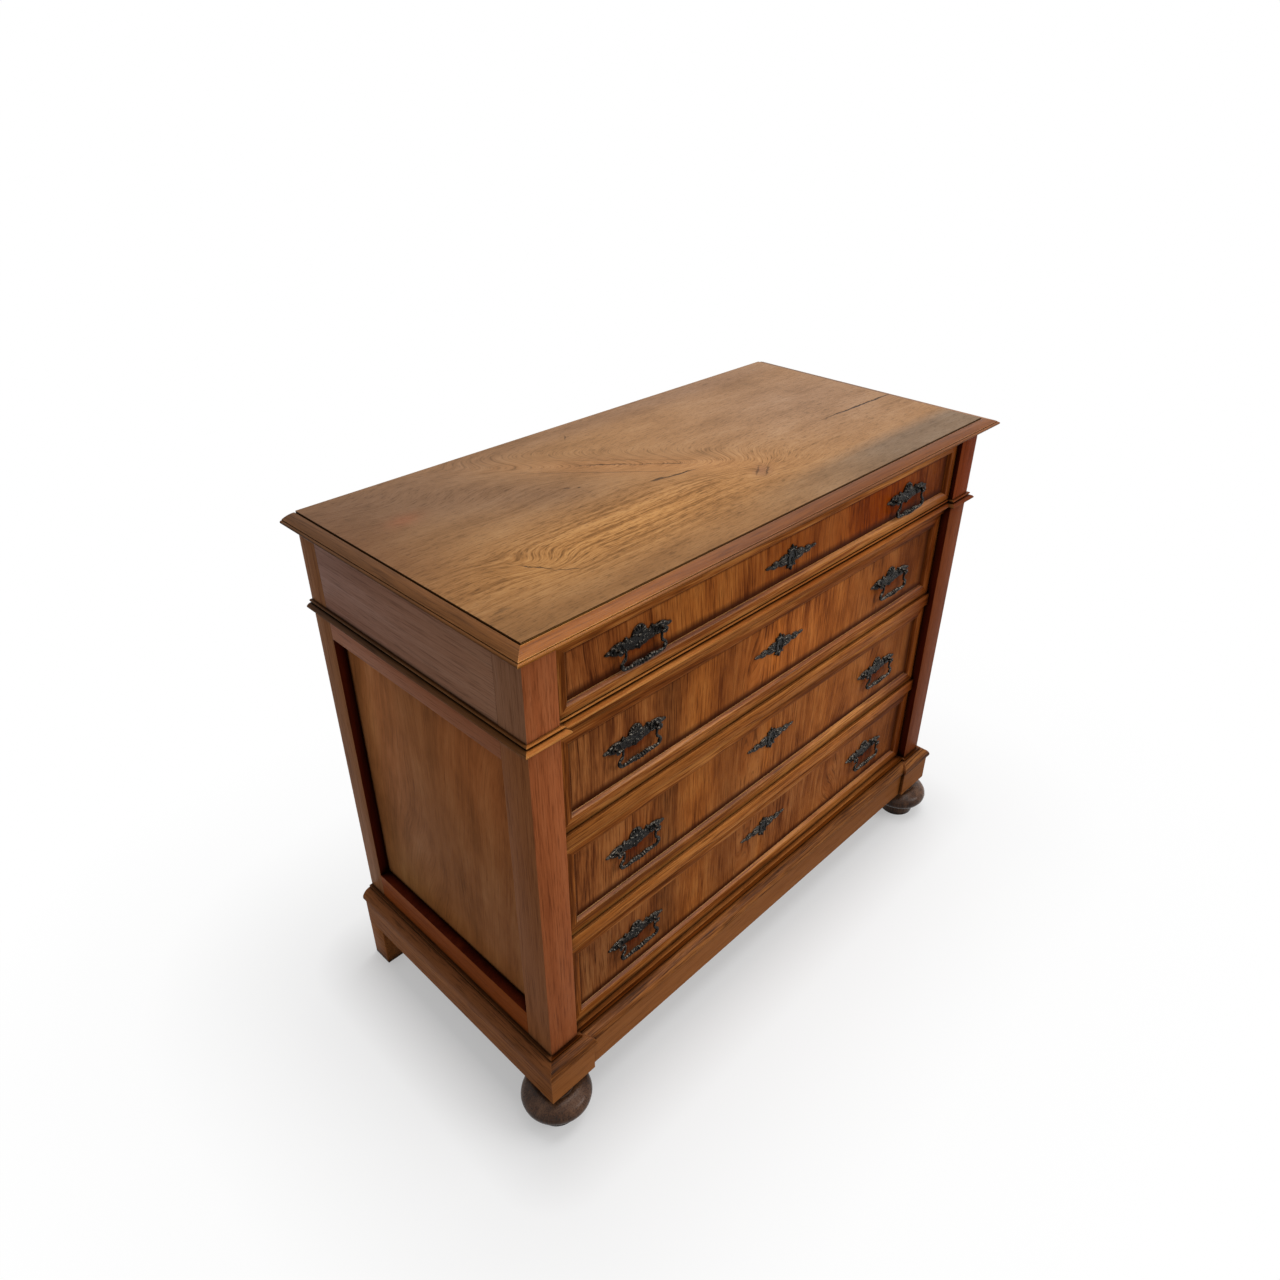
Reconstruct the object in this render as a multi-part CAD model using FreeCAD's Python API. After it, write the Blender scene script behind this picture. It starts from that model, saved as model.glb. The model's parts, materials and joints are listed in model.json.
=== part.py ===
"""A walnut chest of four long drawers on a moulded plinth, with turned bun feet in front.

Lengths are in millimetres. X runs to the right as seen from the front, Z runs up from the floor, and the
front looks towards -Y. A depth runs back from the front plane of the corner posts, which lies at FRONT_Y.
The origin is on the floor, at the middle of the box round the whole chest.
"""

import FreeCAD
import Part

import math
import os
from collections import namedtuple

Vector = FreeCAD.Vector

# Carcase
OPENING_W = 1022.0
BODY_DEPTH = 540.0
POST_W = 56.5
POST_DEPTH = 59.0
BACK_POST_W = 40.0
BACK_POST_DEPTH = 45.0
SIDE_RAIL_T = 28.0
LOWER_RAIL_SHOW = 55.0
UPPER_RAIL_H = 51.0
FRIEZE_T = 22.0
PANEL_T = 8.0
PANEL_REBATE = 8.0
BACK_T = 8.0
BACK_REBATE = 10.0
BACK_BOARD_COUNT = 4
BOTTOM_T = 12.0
BOTTOM_RISE = 21.0

# Front rails, whose set is how far they stand behind the posts
RAIL_SET = 11.0
BOTTOM_RAIL_SET = 7.0
RAIL_T = 26.0
WAIST_RAIL_T = 30.0
TOP_RAIL_T = 12.0

# Runners under the drawers, with a guide beside each drawer side
RUNNER_LEDGE = 36.0
RUNNER_T = 20.0
GUIDE_H = 25.0

# Top board and its edge moulding
TOP_T = 24.0
TOP_INSET = 2.5
TOP_STEP = 1.5
TOP_OVOLO_W = 24.0
TOP_OVOLO_DROP = 5.0
TOP_OVOLO_BOW_SHARE = 0.06
TOP_QUIRK = 1.5
TOP_BEAD_OUT = 1.5
TOP_BEAD_D = 5.0
TOP_COVE_FOOT = 6.0
TOP_COVE_BOW_SHARE = -0.15

# Waist moulding: a bead over a larger bevel
WAIST_MOULD_H = 15.0
WAIST_BEAD_OUT = 3.75
WAIST_BEAD_D = 4.5
WAIST_QUIRK = 1.0
WAIST_OUT = 11.5
WAIST_BEVEL_H = 4.0
WAIST_BEVEL_BOW_SHARE = 0.1
WAIST_NOSE_H = 2.0
WAIST_FOOT = 2.5
WAIST_COVE_BOW_SHARE = -0.12

# Plinth boards and the moulding on them
PLINTH_T = 19.5
PLINTH_H = 56.0
PLINTH_MOULD_H = 33.0
PLINTH_FILLET_OUT = 6.0
PLINTH_FILLET_H = 3.0
PLINTH_QUIRK = 1.5
PLINTH_OVOLO_OUT = 24.0
PLINTH_OVOLO_H = 15.0
PLINTH_OVOLO_BOW_SHARE = 0.16
PLINTH_NOSE_H = 4.0
PLINTH_COVE_H = 4.5
PLINTH_COVE_BOW_SHARE = -0.2

# Feet
FOOT_H = 91.0
FOOT_R = 62.0
FOOT_IN = 17.5
FOOT_BACK = 17.0
FOOT_PAD_R = 37.0
FOOT_PAD_TOP_R = 41.0
FOOT_ROUND_R = 46.0
FOOT_ROUND_LOW = 33.0
FOOT_ROUND_H = 35.0
FOOT_NECK_R = 30.0
FOOT_NECK_H = 18.0
BACK_FOOT_W = 35.0

# Drawers, from the top one down
DRAWER_1_H = 114.0
DRAWER_2_H = 180.0
DRAWER_3_H = 189.0
DRAWER_4_H = 187.0
DRAWER_GAP = 1.5
RUNNING_GAP = 0.3
DRAWER_1_SET = 8.0
DRAWER_SET = 16.0
FRONT_T = 18.0
FRAME_T = 6.0
EDGE_BORDER = 22.0
SIDE_BORDER = 24.0
EDGE_BORDER_1 = 14.0
SIDE_BORDER_1 = 18.0
BEVEL_W = 5.0
DRAWER_SIDE_T = 12.0
DRAWER_SIDE_DROP = 8.0
DRAWER_BACK_T = 12.0
DRAWER_BACK_DROP = 6.0
DRAWER_BOTTOM_T = 8.0
DRAWER_BOTTOM_RISE = 9.0
DRAWER_GROOVE = 6.0
DRAWER_END_GAP = 30.0

# Dovetails of the drawer sides into the fronts
TAIL_L = 11.0
TAIL_PITCH = 42.0
TAIL_COUNT_LEAST = 2
TAIL_ROOT_SHARE = 0.46
TAIL_TIP_SHARE = 0.62

# Locks
KEYHOLE_HEIGHT_SHARES = (0.487, 0.542, 0.606, 0.607)
KEYHOLE_R = 3.0
KEYHOLE_SLOT_W = 3.0
KEYHOLE_SLOT_L = 9.0
LOCK_W = 60.0
LOCK_T = 10.0
LOCK_WALL = 2.0
LOCK_BELOW = 18.0
BOLT_W = 20.0
BOLT_T = 5.0
BOLT_H = 24.0
BOLT_THROW = 8.0
MORTISE_ROOM = 1.0

# Escutcheons: an oval with finials and leafy arms
ESCUTCHEON_T = 2.0
ESCUTCHEON_L = 134.0
ESCUTCHEON_H = 46.0
OVAL_W = 24.0
OVAL_H = 34.0
FINIAL_W = 10.0
SHOULDER_ROOT_SHARE = 0.56
SHOULDER_END_SHARES = (0.42, 0.14)
ARM_ROOT_SHARES = (0.10, 0.50, 0.74)
ARM_TIP_SHARES = (0.56, 0.80, 1.0)
ARM_BOW_SHARES = (0.24, 0.28, 0.16)

# Handles: a shaped plate, two ball posts and a drop bail
HANDLE_END = 159.5
HANDLE_HEIGHT_SHARES = (0.496, 0.519, 0.548, 0.553)
PLATE_T = 2.0
PLATE_L = 133.0
FIELD_W = 62.0
FIELD_RISE = 8.0
FIELD_FALL = 7.0
PENDANT_DROP = 17.0
LOBE_BOW_SHARE = -0.09
CREST_R = 14.0
CREST_LIFT = 1.0
LEAF_LAP = 3.0
LEAF_BOW_SHARE = 0.4
TIP_L = 20.0
TIP_LAP = 4.5
TIP_BOW_SHARE = 0.2
POST_END = 22.5
POST_OUT = 11.0
BALL_R = 5.5
BALL_RING_SHARES = (-1.0, -0.4, 0.4, 1.0)
STEM_R = 2.8
COLLAR_R = 7.0
COLLAR_T = 1.6
SHANK_R = 2.2
NUT_W = 11.0
NUT_T = 4.0
SHANK_END = 2.0
FASTENER_FIT = 0.1
BAIL_R = 2.0
BAIL_DROP = 31.0
BAIL_NECK_IN = 1.0
BAIL_NECK_DROP = 9.0
BAIL_SHOULDER_OUT = 6.8
BAIL_SHOULDER_DROP = 22.0
BAIL_FOOT_IN = 0.2
BAIL_ROUND_SHARE = 0.45
BAIL_EYE_R = 3.2
BAIL_PIN_R = 1.5
BAIL_PIN_L = 4.0
PIN_FIT = 0.05
GRIP_L = 58.0
GRIP_R = 3.3
GRIP_END_R = 1.8
KNOB_R = 4.2
KNOB_WAIST_R = 2.4
GRIP_PLACE_SHARES = (1.0, 0.6, 0.26, 0.13, 0.0)

# One overrun serves every cut, and an arc with this bow is a half circle
OVERRUN = 5.0
HALF_ROUND_SHARE = 0.5

# Turnings and rods have flat sides, and their arcs have chords that turn less than this many radians
FOOT_SIDES = 24
POST_SIDES = 8
ROD_SIDES = 6
CHORD_TURN = 0.85

# Places that follow from the sizes
OPENING_HALF = OPENING_W / 2
BODY_HALF = OPENING_HALF + POST_W
SIDE_INNER = BODY_HALF - SIDE_RAIL_T
BACK_POST_INNER = BODY_HALF - BACK_POST_W
BACK_POST_FRONT = BODY_DEPTH - BACK_POST_DEPTH
FOOT_PROUD = FOOT_R - FOOT_BACK
FRONT_Y = (FOOT_PROUD - BODY_DEPTH) / 2
PLINTH_TOP = FOOT_H + PLINTH_H
BOTTOM_RAIL_TOP = PLINTH_TOP + PLINTH_MOULD_H
FRONT_HALF = OPENING_HALF - DRAWER_GAP
BOX_INNER = FRONT_HALF - DRAWER_SIDE_T
DRAWER_END = BODY_DEPTH - BACK_T - DRAWER_END_GAP
HANDLE_X = FRONT_HALF - HANDLE_END
POST_X = PLATE_L / 2 - POST_END
BAIL_ARM_X = POST_X - BALL_R - RUNNING_GAP - BAIL_R

FORWARD = Vector(0, -1, 0)
RIGHT = Vector(1, 0, 0)
UP = Vector(0, 0, 1)

Drawer = namedtuple(
    "Drawer", "name bottom height rail_top rail_above border_y edge side handle_z keyhole_z"
)


def stack_drawers():
    """Lay the drawers and the rails over them from the plinth up; give the drawers and the body's top."""
    heights = (DRAWER_1_H, DRAWER_2_H, DRAWER_3_H, DRAWER_4_H)
    rails = (TOP_RAIL_T, WAIST_RAIL_T, RAIL_T, RAIL_T)
    rail_top = BOTTOM_RAIL_TOP
    drawers = []
    for index in reversed(range(len(heights))):
        is_top = index == 0
        bottom = rail_top + DRAWER_GAP
        drawer = Drawer(
            name=f"drawer_{index + 1}",
            bottom=bottom,
            height=heights[index],
            rail_top=rail_top,
            rail_above=rails[index],
            border_y=DRAWER_1_SET if is_top else DRAWER_SET,
            edge=EDGE_BORDER_1 if is_top else EDGE_BORDER,
            side=SIDE_BORDER_1 if is_top else SIDE_BORDER,
            handle_z=bottom + heights[index] * HANDLE_HEIGHT_SHARES[index],
            keyhole_z=bottom + heights[index] * KEYHOLE_HEIGHT_SHARES[index],
        )
        drawers.append(drawer)
        rail_top = bottom + heights[index] + DRAWER_GAP + rails[index]
    return drawers, rail_top


DRAWERS, BODY_TOP = stack_drawers()
WAIST_TOP = DRAWERS[-1].rail_top
SIDE_RAIL_JOINT = WAIST_TOP - WAIST_MOULD_H / 2
UPPER_RAIL_LOW = SIDE_RAIL_JOINT - UPPER_RAIL_H
LOWER_RAIL_TOP = BOTTOM_RAIL_TOP + LOWER_RAIL_SHOW


# Shape helpers


def single(shape):
    """The one solid that a cut or a union leaves, with its split faces joined again."""
    (solid,) = shape.removeSplitter().Solids
    return solid


def mirrored(shape):
    """The same piece on the other side of the chest."""
    return shape.mirror(Vector(), RIGHT)


def block(x0, x1, depth0, depth1, z0, z1):
    """A square board between two corners."""
    return Part.makeBox(x1 - x0, depth1 - depth0, z1 - z0, Vector(x0, FRONT_Y + depth0, z0))


def bowed(start, end):
    """Middle of the arc to end, which leaves its chord to the left by end's share of the chord."""
    across, up = end[0] - start[0], end[1] - start[1]
    middle_across = (start[0] + end[0]) / 2 - up * end[2]
    middle_up = (start[1] + end[1]) / 2 + across * end[2]
    return middle_across, middle_up


def outline_face(points, place):
    """Face inside points of two places, and a bow share where the edge that arrives there is an arc."""
    edges = []
    last = points[-1]
    for point in points:
        start, end = place(*last[:2]), place(*point[:2])
        if len(point) == 3:
            edges.append(Part.Arc(start, place(*bowed(last, point)), end).toShape())
        else:
            edges.append(Part.LineSegment(start, end).toShape())
        last = point
    return Part.Face(Part.Wire(edges))


def chord_points(start, end):
    """Points on the arc to end, which is halved until each chord turns less than CHORD_TURN."""
    half_turn = 2 * math.atan(2 * end[2])
    half_bow = math.tan(half_turn / 4) / 2
    middle, last = (*bowed(start, end), half_bow), (*end[:2], half_bow)
    if abs(half_turn) < CHORD_TURN:
        return [middle[:2], last[:2]]
    return chord_points(start, middle) + chord_points(middle, last)


def ringed(rings):
    """A solid with flat faces between rings that have as many corners each."""
    faces = [Part.Face(Part.makePolygon(ring + ring[:1])) for ring in (rings[0], rings[-1])]
    for ring, following in zip(rings, rings[1:]):
        for index in range(len(ring)):
            corners = [ring[index - 1], ring[index], following[index], following[index - 1]]
            faces.append(Part.Face(Part.makePolygon(corners + corners[:1])))
    solid = Part.Solid(Part.Shell(faces))
    if solid.Volume < 0:
        solid.reverse()
    return solid


def corner_shares(sides):
    """Places of a regular ring's corners, as shares of its radius along two directions."""
    step = 2 * math.pi / sides
    return [(math.cos(index * step), math.sin(index * step)) for index in range(sides)]


def turned(points, base, axis, side, sides):
    """A turning with flat sides from points of radius and place along its axis."""
    other = axis.cross(side)
    rings = []
    for radius, along in points:
        centre = base + axis * along
        rings.append([centre + (side * a + other * b) * radius for a, b in corner_shares(sides)])
    return ringed(rings)


def rod(radius, length, start, axis):
    """A straight rod whose corners stand at its radius."""
    side = FORWARD if abs(axis.dot(FORWARD)) < 1 / 2 else UP
    return turned([(radius, 0), (radius, length)], start, axis, side, ROD_SIDES)


def hole(radius, length, start, axis):
    """The tool for a hole whose flats stand at its radius."""
    return rod(radius / math.cos(math.pi / ROD_SIDES), length, start, axis)


def with_chords(points):
    """The outline's points, with each arc as its chords."""
    corners = []
    for last, point in zip(points[-1:] + points, points):
        corners += chord_points(last, point) if len(point) == 3 else [point]
    return corners


def flat_piece(points, thickness):
    """A flat piece in the plane of the front, at the origin, with its back at zero depth."""
    face = outline_face(with_chords(points), lambda across, up: Vector(across, 0, up))
    return face.extrude(FORWARD * thickness)


def leaf(start, end, bow_share, thickness):
    """A pointed leaf between two points of the front's plane."""
    return flat_piece([(*start, bow_share), (*end, bow_share)], thickness)


def seated(shape, x, depth, z):
    """A copy of a piece that was made at the origin, at its place on the chest."""
    return shape.translated(Vector(x, FRONT_Y + depth, z))


# Mouldings that follow the walls


def outward(start, end):
    """Unit plan direction to the right of a wall run, which is the open side."""
    length = math.dist(start, end)
    return (end[1] - start[1]) / length, (start[0] - end[0]) / length


def mitres(path):
    """Plan vector along each corner's mitre, for one unit of projection."""
    normals = [outward(start, end) for start, end in zip(path, path[1:])]
    vectors = []
    for before, after in zip(normals[:1] + normals, normals + normals[-1:]):
        spread = 1 + before[0] * after[0] + before[1] * after[1]
        vectors.append(((before[0] + after[0]) / spread, (before[1] + after[1]) / spread))
    return vectors


def mitred_runs(path, profile, top):
    """One solid for each run of a wall path; profile points are out from the wall and up from top."""
    reach = max(point[0] for point in profile) + OVERRUN
    low = top + min(point[1] for point in profile) - OVERRUN
    high = top + max(point[1] for point in profile) + OVERRUN
    corners = mitres(path)
    runs = []
    for index, (start, end) in enumerate(zip(path, path[1:])):
        out = outward(start, end)
        along = (-out[1], out[0])
        first = (start[0] - along[0] * reach, start[1] - along[1] * reach)

        def place(across, up):
            return Vector(first[0] + out[0] * across, FRONT_Y + first[1] + out[1] * across, top + up)

        length = math.dist(start, end) + reach + reach
        bar = outline_face(profile, place).extrude(Vector(along[0], along[1], 0) * length)
        tips = [
            (point[0] + corner[0] * reach, point[1] + corner[1] * reach)
            for point, corner in zip((end, start), (corners[index + 1], corners[index]))
        ]
        plan = [Vector(x, FRONT_Y + depth, low) for x, depth in (start, end, *tips)]
        wedge = Part.Face(Part.makePolygon(plan + plan[:1])).extrude(UP * (high - low))
        runs.append(single(bar.common(wedge)))
    return runs


def stepped_path(setback):
    """Wall line round both sides and the front, which steps back between the posts."""
    left = [(-BODY_HALF, BODY_DEPTH), (-BODY_HALF, 0), (-OPENING_HALF, 0), (-OPENING_HALF, setback)]
    right = [(-x, depth) for x, depth in reversed(left)]
    return left + right


def stepped_pieces(profile, top, setback):
    """Side, corner, middle, corner and side lengths; each corner carries its short return."""
    runs = mitred_runs(stepped_path(setback), profile, top)
    left_corner = single(runs[1].fuse(runs[2]))
    right_corner = single(runs[4].fuse(runs[5]))
    return [runs[0], left_corner, runs[3], right_corner, runs[6]]


# Carcase


def top_board():
    """The flat of the top."""
    half = BODY_HALF - TOP_INSET
    return [block(-half, half, 0, BODY_DEPTH, BODY_TOP, BODY_TOP + TOP_T)]


def top_moulding():
    """Ovolo, quirk and bead, undercut by a cove, mitred round the front and both sides."""
    half = BODY_HALF - TOP_INSET
    path = [(-half, BODY_DEPTH), (-half, 0), (half, 0), (half, BODY_DEPTH)]
    ovolo_low = -TOP_STEP - TOP_OVOLO_DROP
    bead_top = ovolo_low - TOP_QUIRK
    bead_out = TOP_OVOLO_W + TOP_BEAD_OUT
    profile = [
        (0, -TOP_STEP),
        (TOP_OVOLO_W, ovolo_low, TOP_OVOLO_BOW_SHARE),
        (TOP_OVOLO_W, bead_top),
        (bead_out, bead_top),
        (bead_out, bead_top - TOP_BEAD_D, HALF_ROUND_SHARE),
        (TOP_COVE_FOOT, -TOP_T, TOP_COVE_BOW_SHARE),
        (0, -TOP_T),
    ]
    return mitred_runs(path, profile, BODY_TOP + TOP_T)


def front_posts():
    """Corner posts, rebated inside for the side panels."""
    post = block(OPENING_HALF, BODY_HALF, 0, POST_DEPTH, FOOT_H, BODY_TOP)
    post = single(post.cut(panel_body()))
    return [mirrored(post), post]


def back_posts():
    """Back posts, rebated for the side panels and the back boards."""
    post = block(BACK_POST_INNER, BODY_HALF, BACK_POST_FRONT, BODY_DEPTH, FOOT_H, BODY_TOP)
    back_edge = BACK_POST_INNER + BACK_REBATE
    rebate = block(BACK_POST_INNER, back_edge, BODY_DEPTH - BACK_T, BODY_DEPTH, back_low(), BODY_TOP)
    post = single(post.cut([panel_body(), rebate]))
    return [mirrored(post), post]


def panel_body():
    """The right side panel, which is also the tool for its rebates."""
    return block(
        SIDE_INNER,
        SIDE_INNER + PANEL_T,
        POST_DEPTH - PANEL_REBATE,
        BACK_POST_FRONT + PANEL_REBATE,
        LOWER_RAIL_TOP - PANEL_REBATE,
        UPPER_RAIL_LOW + PANEL_REBATE,
    )


def side_panels():
    """Panels sunk well behind the side rails."""
    panel = panel_body()
    return [mirrored(panel), panel]


def frieze_boards():
    """Side boards above the waist."""
    board = block(
        BODY_HALF - FRIEZE_T, BODY_HALF, POST_DEPTH, BACK_POST_FRONT, SIDE_RAIL_JOINT, BODY_TOP
    )
    return [mirrored(board), board]


def side_rails():
    """Upper and lower rail of each side."""
    rails = []
    for low, high in ((UPPER_RAIL_LOW, SIDE_RAIL_JOINT), (FOOT_H, LOWER_RAIL_TOP)):
        rail = block(SIDE_INNER, BODY_HALF, POST_DEPTH, BACK_POST_FRONT, low, high)
        rail = single(rail.cut(panel_body()))
        rails += [mirrored(rail), rail]
    return rails


def waist_moulding():
    """Bead, quirk and bevel round the waist, breaking forward over the posts."""
    bead_start = (WAIST_BEAD_OUT, 0)
    bevel_top = -WAIST_BEAD_D - WAIST_QUIRK
    nose_top = bevel_top - WAIST_BEVEL_H
    profile = [
        (0, 0),
        bead_start,
        *chord_points(bead_start, (WAIST_BEAD_OUT, -WAIST_BEAD_D, HALF_ROUND_SHARE)),
        (WAIST_BEAD_OUT, bevel_top),
        (WAIST_OUT, nose_top, WAIST_BEVEL_BOW_SHARE),
        (WAIST_OUT, nose_top - WAIST_NOSE_H),
        (WAIST_FOOT, -WAIST_MOULD_H, WAIST_COVE_BOW_SHARE),
        (0, -WAIST_MOULD_H),
    ]
    return stepped_pieces(profile, WAIST_TOP, RAIL_SET)


def plinth_boards():
    """Plinth with corner blocks that break forward."""
    profile = [(0, 0), (PLINTH_T, 0), (PLINTH_T, -PLINTH_H), (0, -PLINTH_H)]
    return stepped_pieces(profile, PLINTH_TOP, BOTTOM_RAIL_SET)


def plinth_moulding():
    """Fillet, quirk and bold ovolo that overhangs the plinth boards."""
    quirk_low = -PLINTH_FILLET_H - PLINTH_QUIRK
    nose_top = quirk_low - PLINTH_OVOLO_H
    nose_low = nose_top - PLINTH_NOSE_H
    profile = [
        (0, 0),
        (PLINTH_FILLET_OUT, 0),
        (PLINTH_FILLET_OUT, -PLINTH_FILLET_H),
        (PLINTH_FILLET_OUT - PLINTH_QUIRK, quirk_low),
        (PLINTH_FILLET_OUT, quirk_low),
        (PLINTH_OVOLO_OUT, nose_top, PLINTH_OVOLO_BOW_SHARE),
        (PLINTH_OVOLO_OUT, nose_low),
        (PLINTH_T, nose_low - PLINTH_COVE_H, PLINTH_COVE_BOW_SHARE),
        (PLINTH_T, -PLINTH_MOULD_H),
        (0, -PLINTH_MOULD_H),
    ]
    return stepped_pieces(profile, BOTTOM_RAIL_TOP, BOTTOM_RAIL_SET)


def front_rails():
    """Rails between the posts; each rail over a drawer has a mortise for that drawer's bolt."""
    half = OPENING_HALF
    rails = [block(-half, half, BOTTOM_RAIL_SET, POST_DEPTH, FOOT_H, BOTTOM_RAIL_TOP)]
    for drawer in DRAWERS:
        low = drawer.bottom + drawer.height + DRAWER_GAP
        rail = block(-half, half, RAIL_SET, POST_DEPTH, low, low + drawer.rail_above)
        mortise_top = drawer.bottom + drawer.height + BOLT_THROW + MORTISE_ROOM
        rails.append(single(rail.cut(bolt_room(drawer, MORTISE_ROOM, low - OVERRUN, mortise_top))))
    return rails


def drawer_runners():
    """Runners level with the rails' tops, each with a guide in line with the post's inner face."""
    runners = []
    for drawer in DRAWERS:
        top = drawer.rail_top
        points = [
            (OPENING_HALF - RUNNER_LEDGE, top - RUNNER_T),
            (SIDE_INNER, top - RUNNER_T),
            (SIDE_INNER, top + GUIDE_H),
            (OPENING_HALF, top + GUIDE_H),
            (OPENING_HALF, top),
            (OPENING_HALF - RUNNER_LEDGE, top),
        ]
        section = outline_face(points, lambda x, z: Vector(x, FRONT_Y + POST_DEPTH, z))
        runner = section.extrude(-FORWARD * (BACK_POST_FRONT - POST_DEPTH))
        runners += [mirrored(runner), runner]
    return runners


def back_low():
    """Lower edge of the back boards, which is the bottom board's underside."""
    return FOOT_H + BOTTOM_RISE


def back_boards():
    """Upright boards, edge to edge, in the back posts' rebates."""
    half = BACK_POST_INNER + BACK_REBATE
    width = (half + half) / BACK_BOARD_COUNT
    boards = []
    for index in range(BACK_BOARD_COUNT):
        left = index * width - half
        boards.append(block(left, left + width, BODY_DEPTH - BACK_T, BODY_DEPTH, back_low(), BODY_TOP))
    return boards


def bottom_board():
    """Dust bottom, notched round the back posts."""
    low, high = back_low(), back_low() + BOTTOM_T
    back = BODY_DEPTH - BACK_T
    board = block(-SIDE_INNER, SIDE_INNER, POST_DEPTH, back, low, high)
    notch = block(BACK_POST_INNER, SIDE_INNER, BACK_POST_FRONT, back, low, high)
    return [single(board.cut([notch, mirrored(notch)]))]


def front_feet():
    """Bun feet, each one turning: pad, flattened ball and neck."""
    round_top = FOOT_ROUND_LOW + FOOT_ROUND_H
    profile = [
        (FOOT_PAD_R, 0),
        (FOOT_PAD_TOP_R, FOOT_ROUND_LOW),
        (FOOT_ROUND_R, FOOT_ROUND_LOW),
        (FOOT_ROUND_R, round_top, (FOOT_ROUND_R - FOOT_R) / FOOT_ROUND_H),
        (FOOT_NECK_R, FOOT_H - FOOT_NECK_H),
        (FOOT_NECK_R, FOOT_H),
    ]
    centre = Vector(BODY_HALF - FOOT_IN, FRONT_Y + FOOT_BACK, 0)
    foot = turned(with_chords(profile), centre, UP, RIGHT, FOOT_SIDES)
    return [mirrored(foot), foot]


def back_feet():
    """Plain square blocks under the back posts."""
    outer = BODY_HALF + PLINTH_T
    foot = block(outer - BACK_FOOT_W, outer, BACK_POST_FRONT, BODY_DEPTH, 0, FOOT_H)
    return [mirrored(foot), foot]


# Drawers


def panel_y(drawer):
    """Depth of the front's panel, behind its frame of strips."""
    return drawer.border_y + FRAME_T


def inner_y(drawer):
    """Depth of the front board's inner face."""
    return panel_y(drawer) + FRONT_T


def box_low(drawer):
    """Lower edge of the drawer's sides, just clear of the runners."""
    return drawer.rail_top + RUNNING_GAP


def bolt_room(drawer, room, low, high):
    """A square way for the drawer's lock bolt, wider than the bolt by the room given."""
    middle = inner_y(drawer) - LOCK_T / 2
    half_w, half_t = BOLT_W / 2 + room, BOLT_T / 2 + room
    return block(-half_w, half_w, middle - half_t, middle + half_t, low, high)


def keyhole(drawer):
    """Keyhole from in front of the plate to inside the lock case."""
    start = Vector(0, FRONT_Y + panel_y(drawer) - OVERRUN, drawer.keyhole_z)
    depth = OVERRUN + FRONT_T - LOCK_T + LOCK_WALL
    eye = rod(KEYHOLE_R, depth, start, -FORWARD)
    slot = Part.makeBox(
        KEYHOLE_SLOT_W, depth, KEYHOLE_SLOT_L, start - RIGHT * (KEYHOLE_SLOT_W / 2) - UP * KEYHOLE_SLOT_L
    )
    return single(eye.fuse(slot))


def tails(drawer):
    """Dovetails of the right side, which are also the tools for their sockets."""
    low = box_low(drawer)
    height = drawer.bottom + drawer.height - DRAWER_SIDE_DROP - low
    count = max(TAIL_COUNT_LEAST, round(height / TAIL_PITCH))
    pitch = height / count
    root, tip = pitch * TAIL_ROOT_SHARE / 2, pitch * TAIL_TIP_SHARE / 2
    back = inner_y(drawer)
    pieces = []
    for index in range(count):
        middle = low + pitch * (index + 1 / 2)
        points = [
            (back, middle - root),
            (back, middle + root),
            (back - TAIL_L, middle + tip),
            (back - TAIL_L, middle - tip),
        ]
        face = outline_face(points, lambda depth, z: Vector(BOX_INNER, FRONT_Y + depth, z))
        pieces.append(face.extrude(RIGHT * DRAWER_SIDE_T))
    return pieces


def bottom_body(drawer):
    """The drawer's bottom, which is also the tool for its grooves."""
    low = box_low(drawer) + DRAWER_BOTTOM_RISE
    half = BOX_INNER + DRAWER_GROOVE
    return block(-half, half, inner_y(drawer) - DRAWER_GROOVE, DRAWER_END, low, low + DRAWER_BOTTOM_T)


def lock_body(drawer):
    """Outside of the lock case, flush with the front's inner face and upper edge."""
    half, back = LOCK_W / 2, inner_y(drawer)
    top = drawer.bottom + drawer.height
    return block(-half, half, back - LOCK_T, back, drawer.keyhole_z - LOCK_BELOW, top)


def post_places():
    """Each handle post's place along X, with the direction of its handle's middle."""
    return [
        (handle * HANDLE_X + post * POST_X, -post) for handle in (-1, 1) for post in (-1, 1)
    ]


def shank_hole(drawer, x):
    """Hole for a post's shank, through the plate and the front."""
    start = Vector(x, FRONT_Y + panel_y(drawer) - PLATE_T - OVERRUN, drawer.handle_z)
    length = PLATE_T + FRONT_T + OVERRUN + OVERRUN
    return hole(SHANK_R + FASTENER_FIT, length, start, -FORWARD)


def drawer_front(drawer):
    """Front board with dovetail sockets, bottom groove, lock recess, keyhole and handle holes."""
    top = drawer.bottom + drawer.height
    board = block(-FRONT_HALF, FRONT_HALF, panel_y(drawer), inner_y(drawer), drawer.bottom, top)
    tools = [bottom_body(drawer), lock_body(drawer), keyhole(drawer)]
    for tail in tails(drawer):
        tools += [tail, mirrored(tail)]
    tools += [shank_hole(drawer, x) for x, inward in post_places()]
    return [single(board.cut(tools))]


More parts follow.
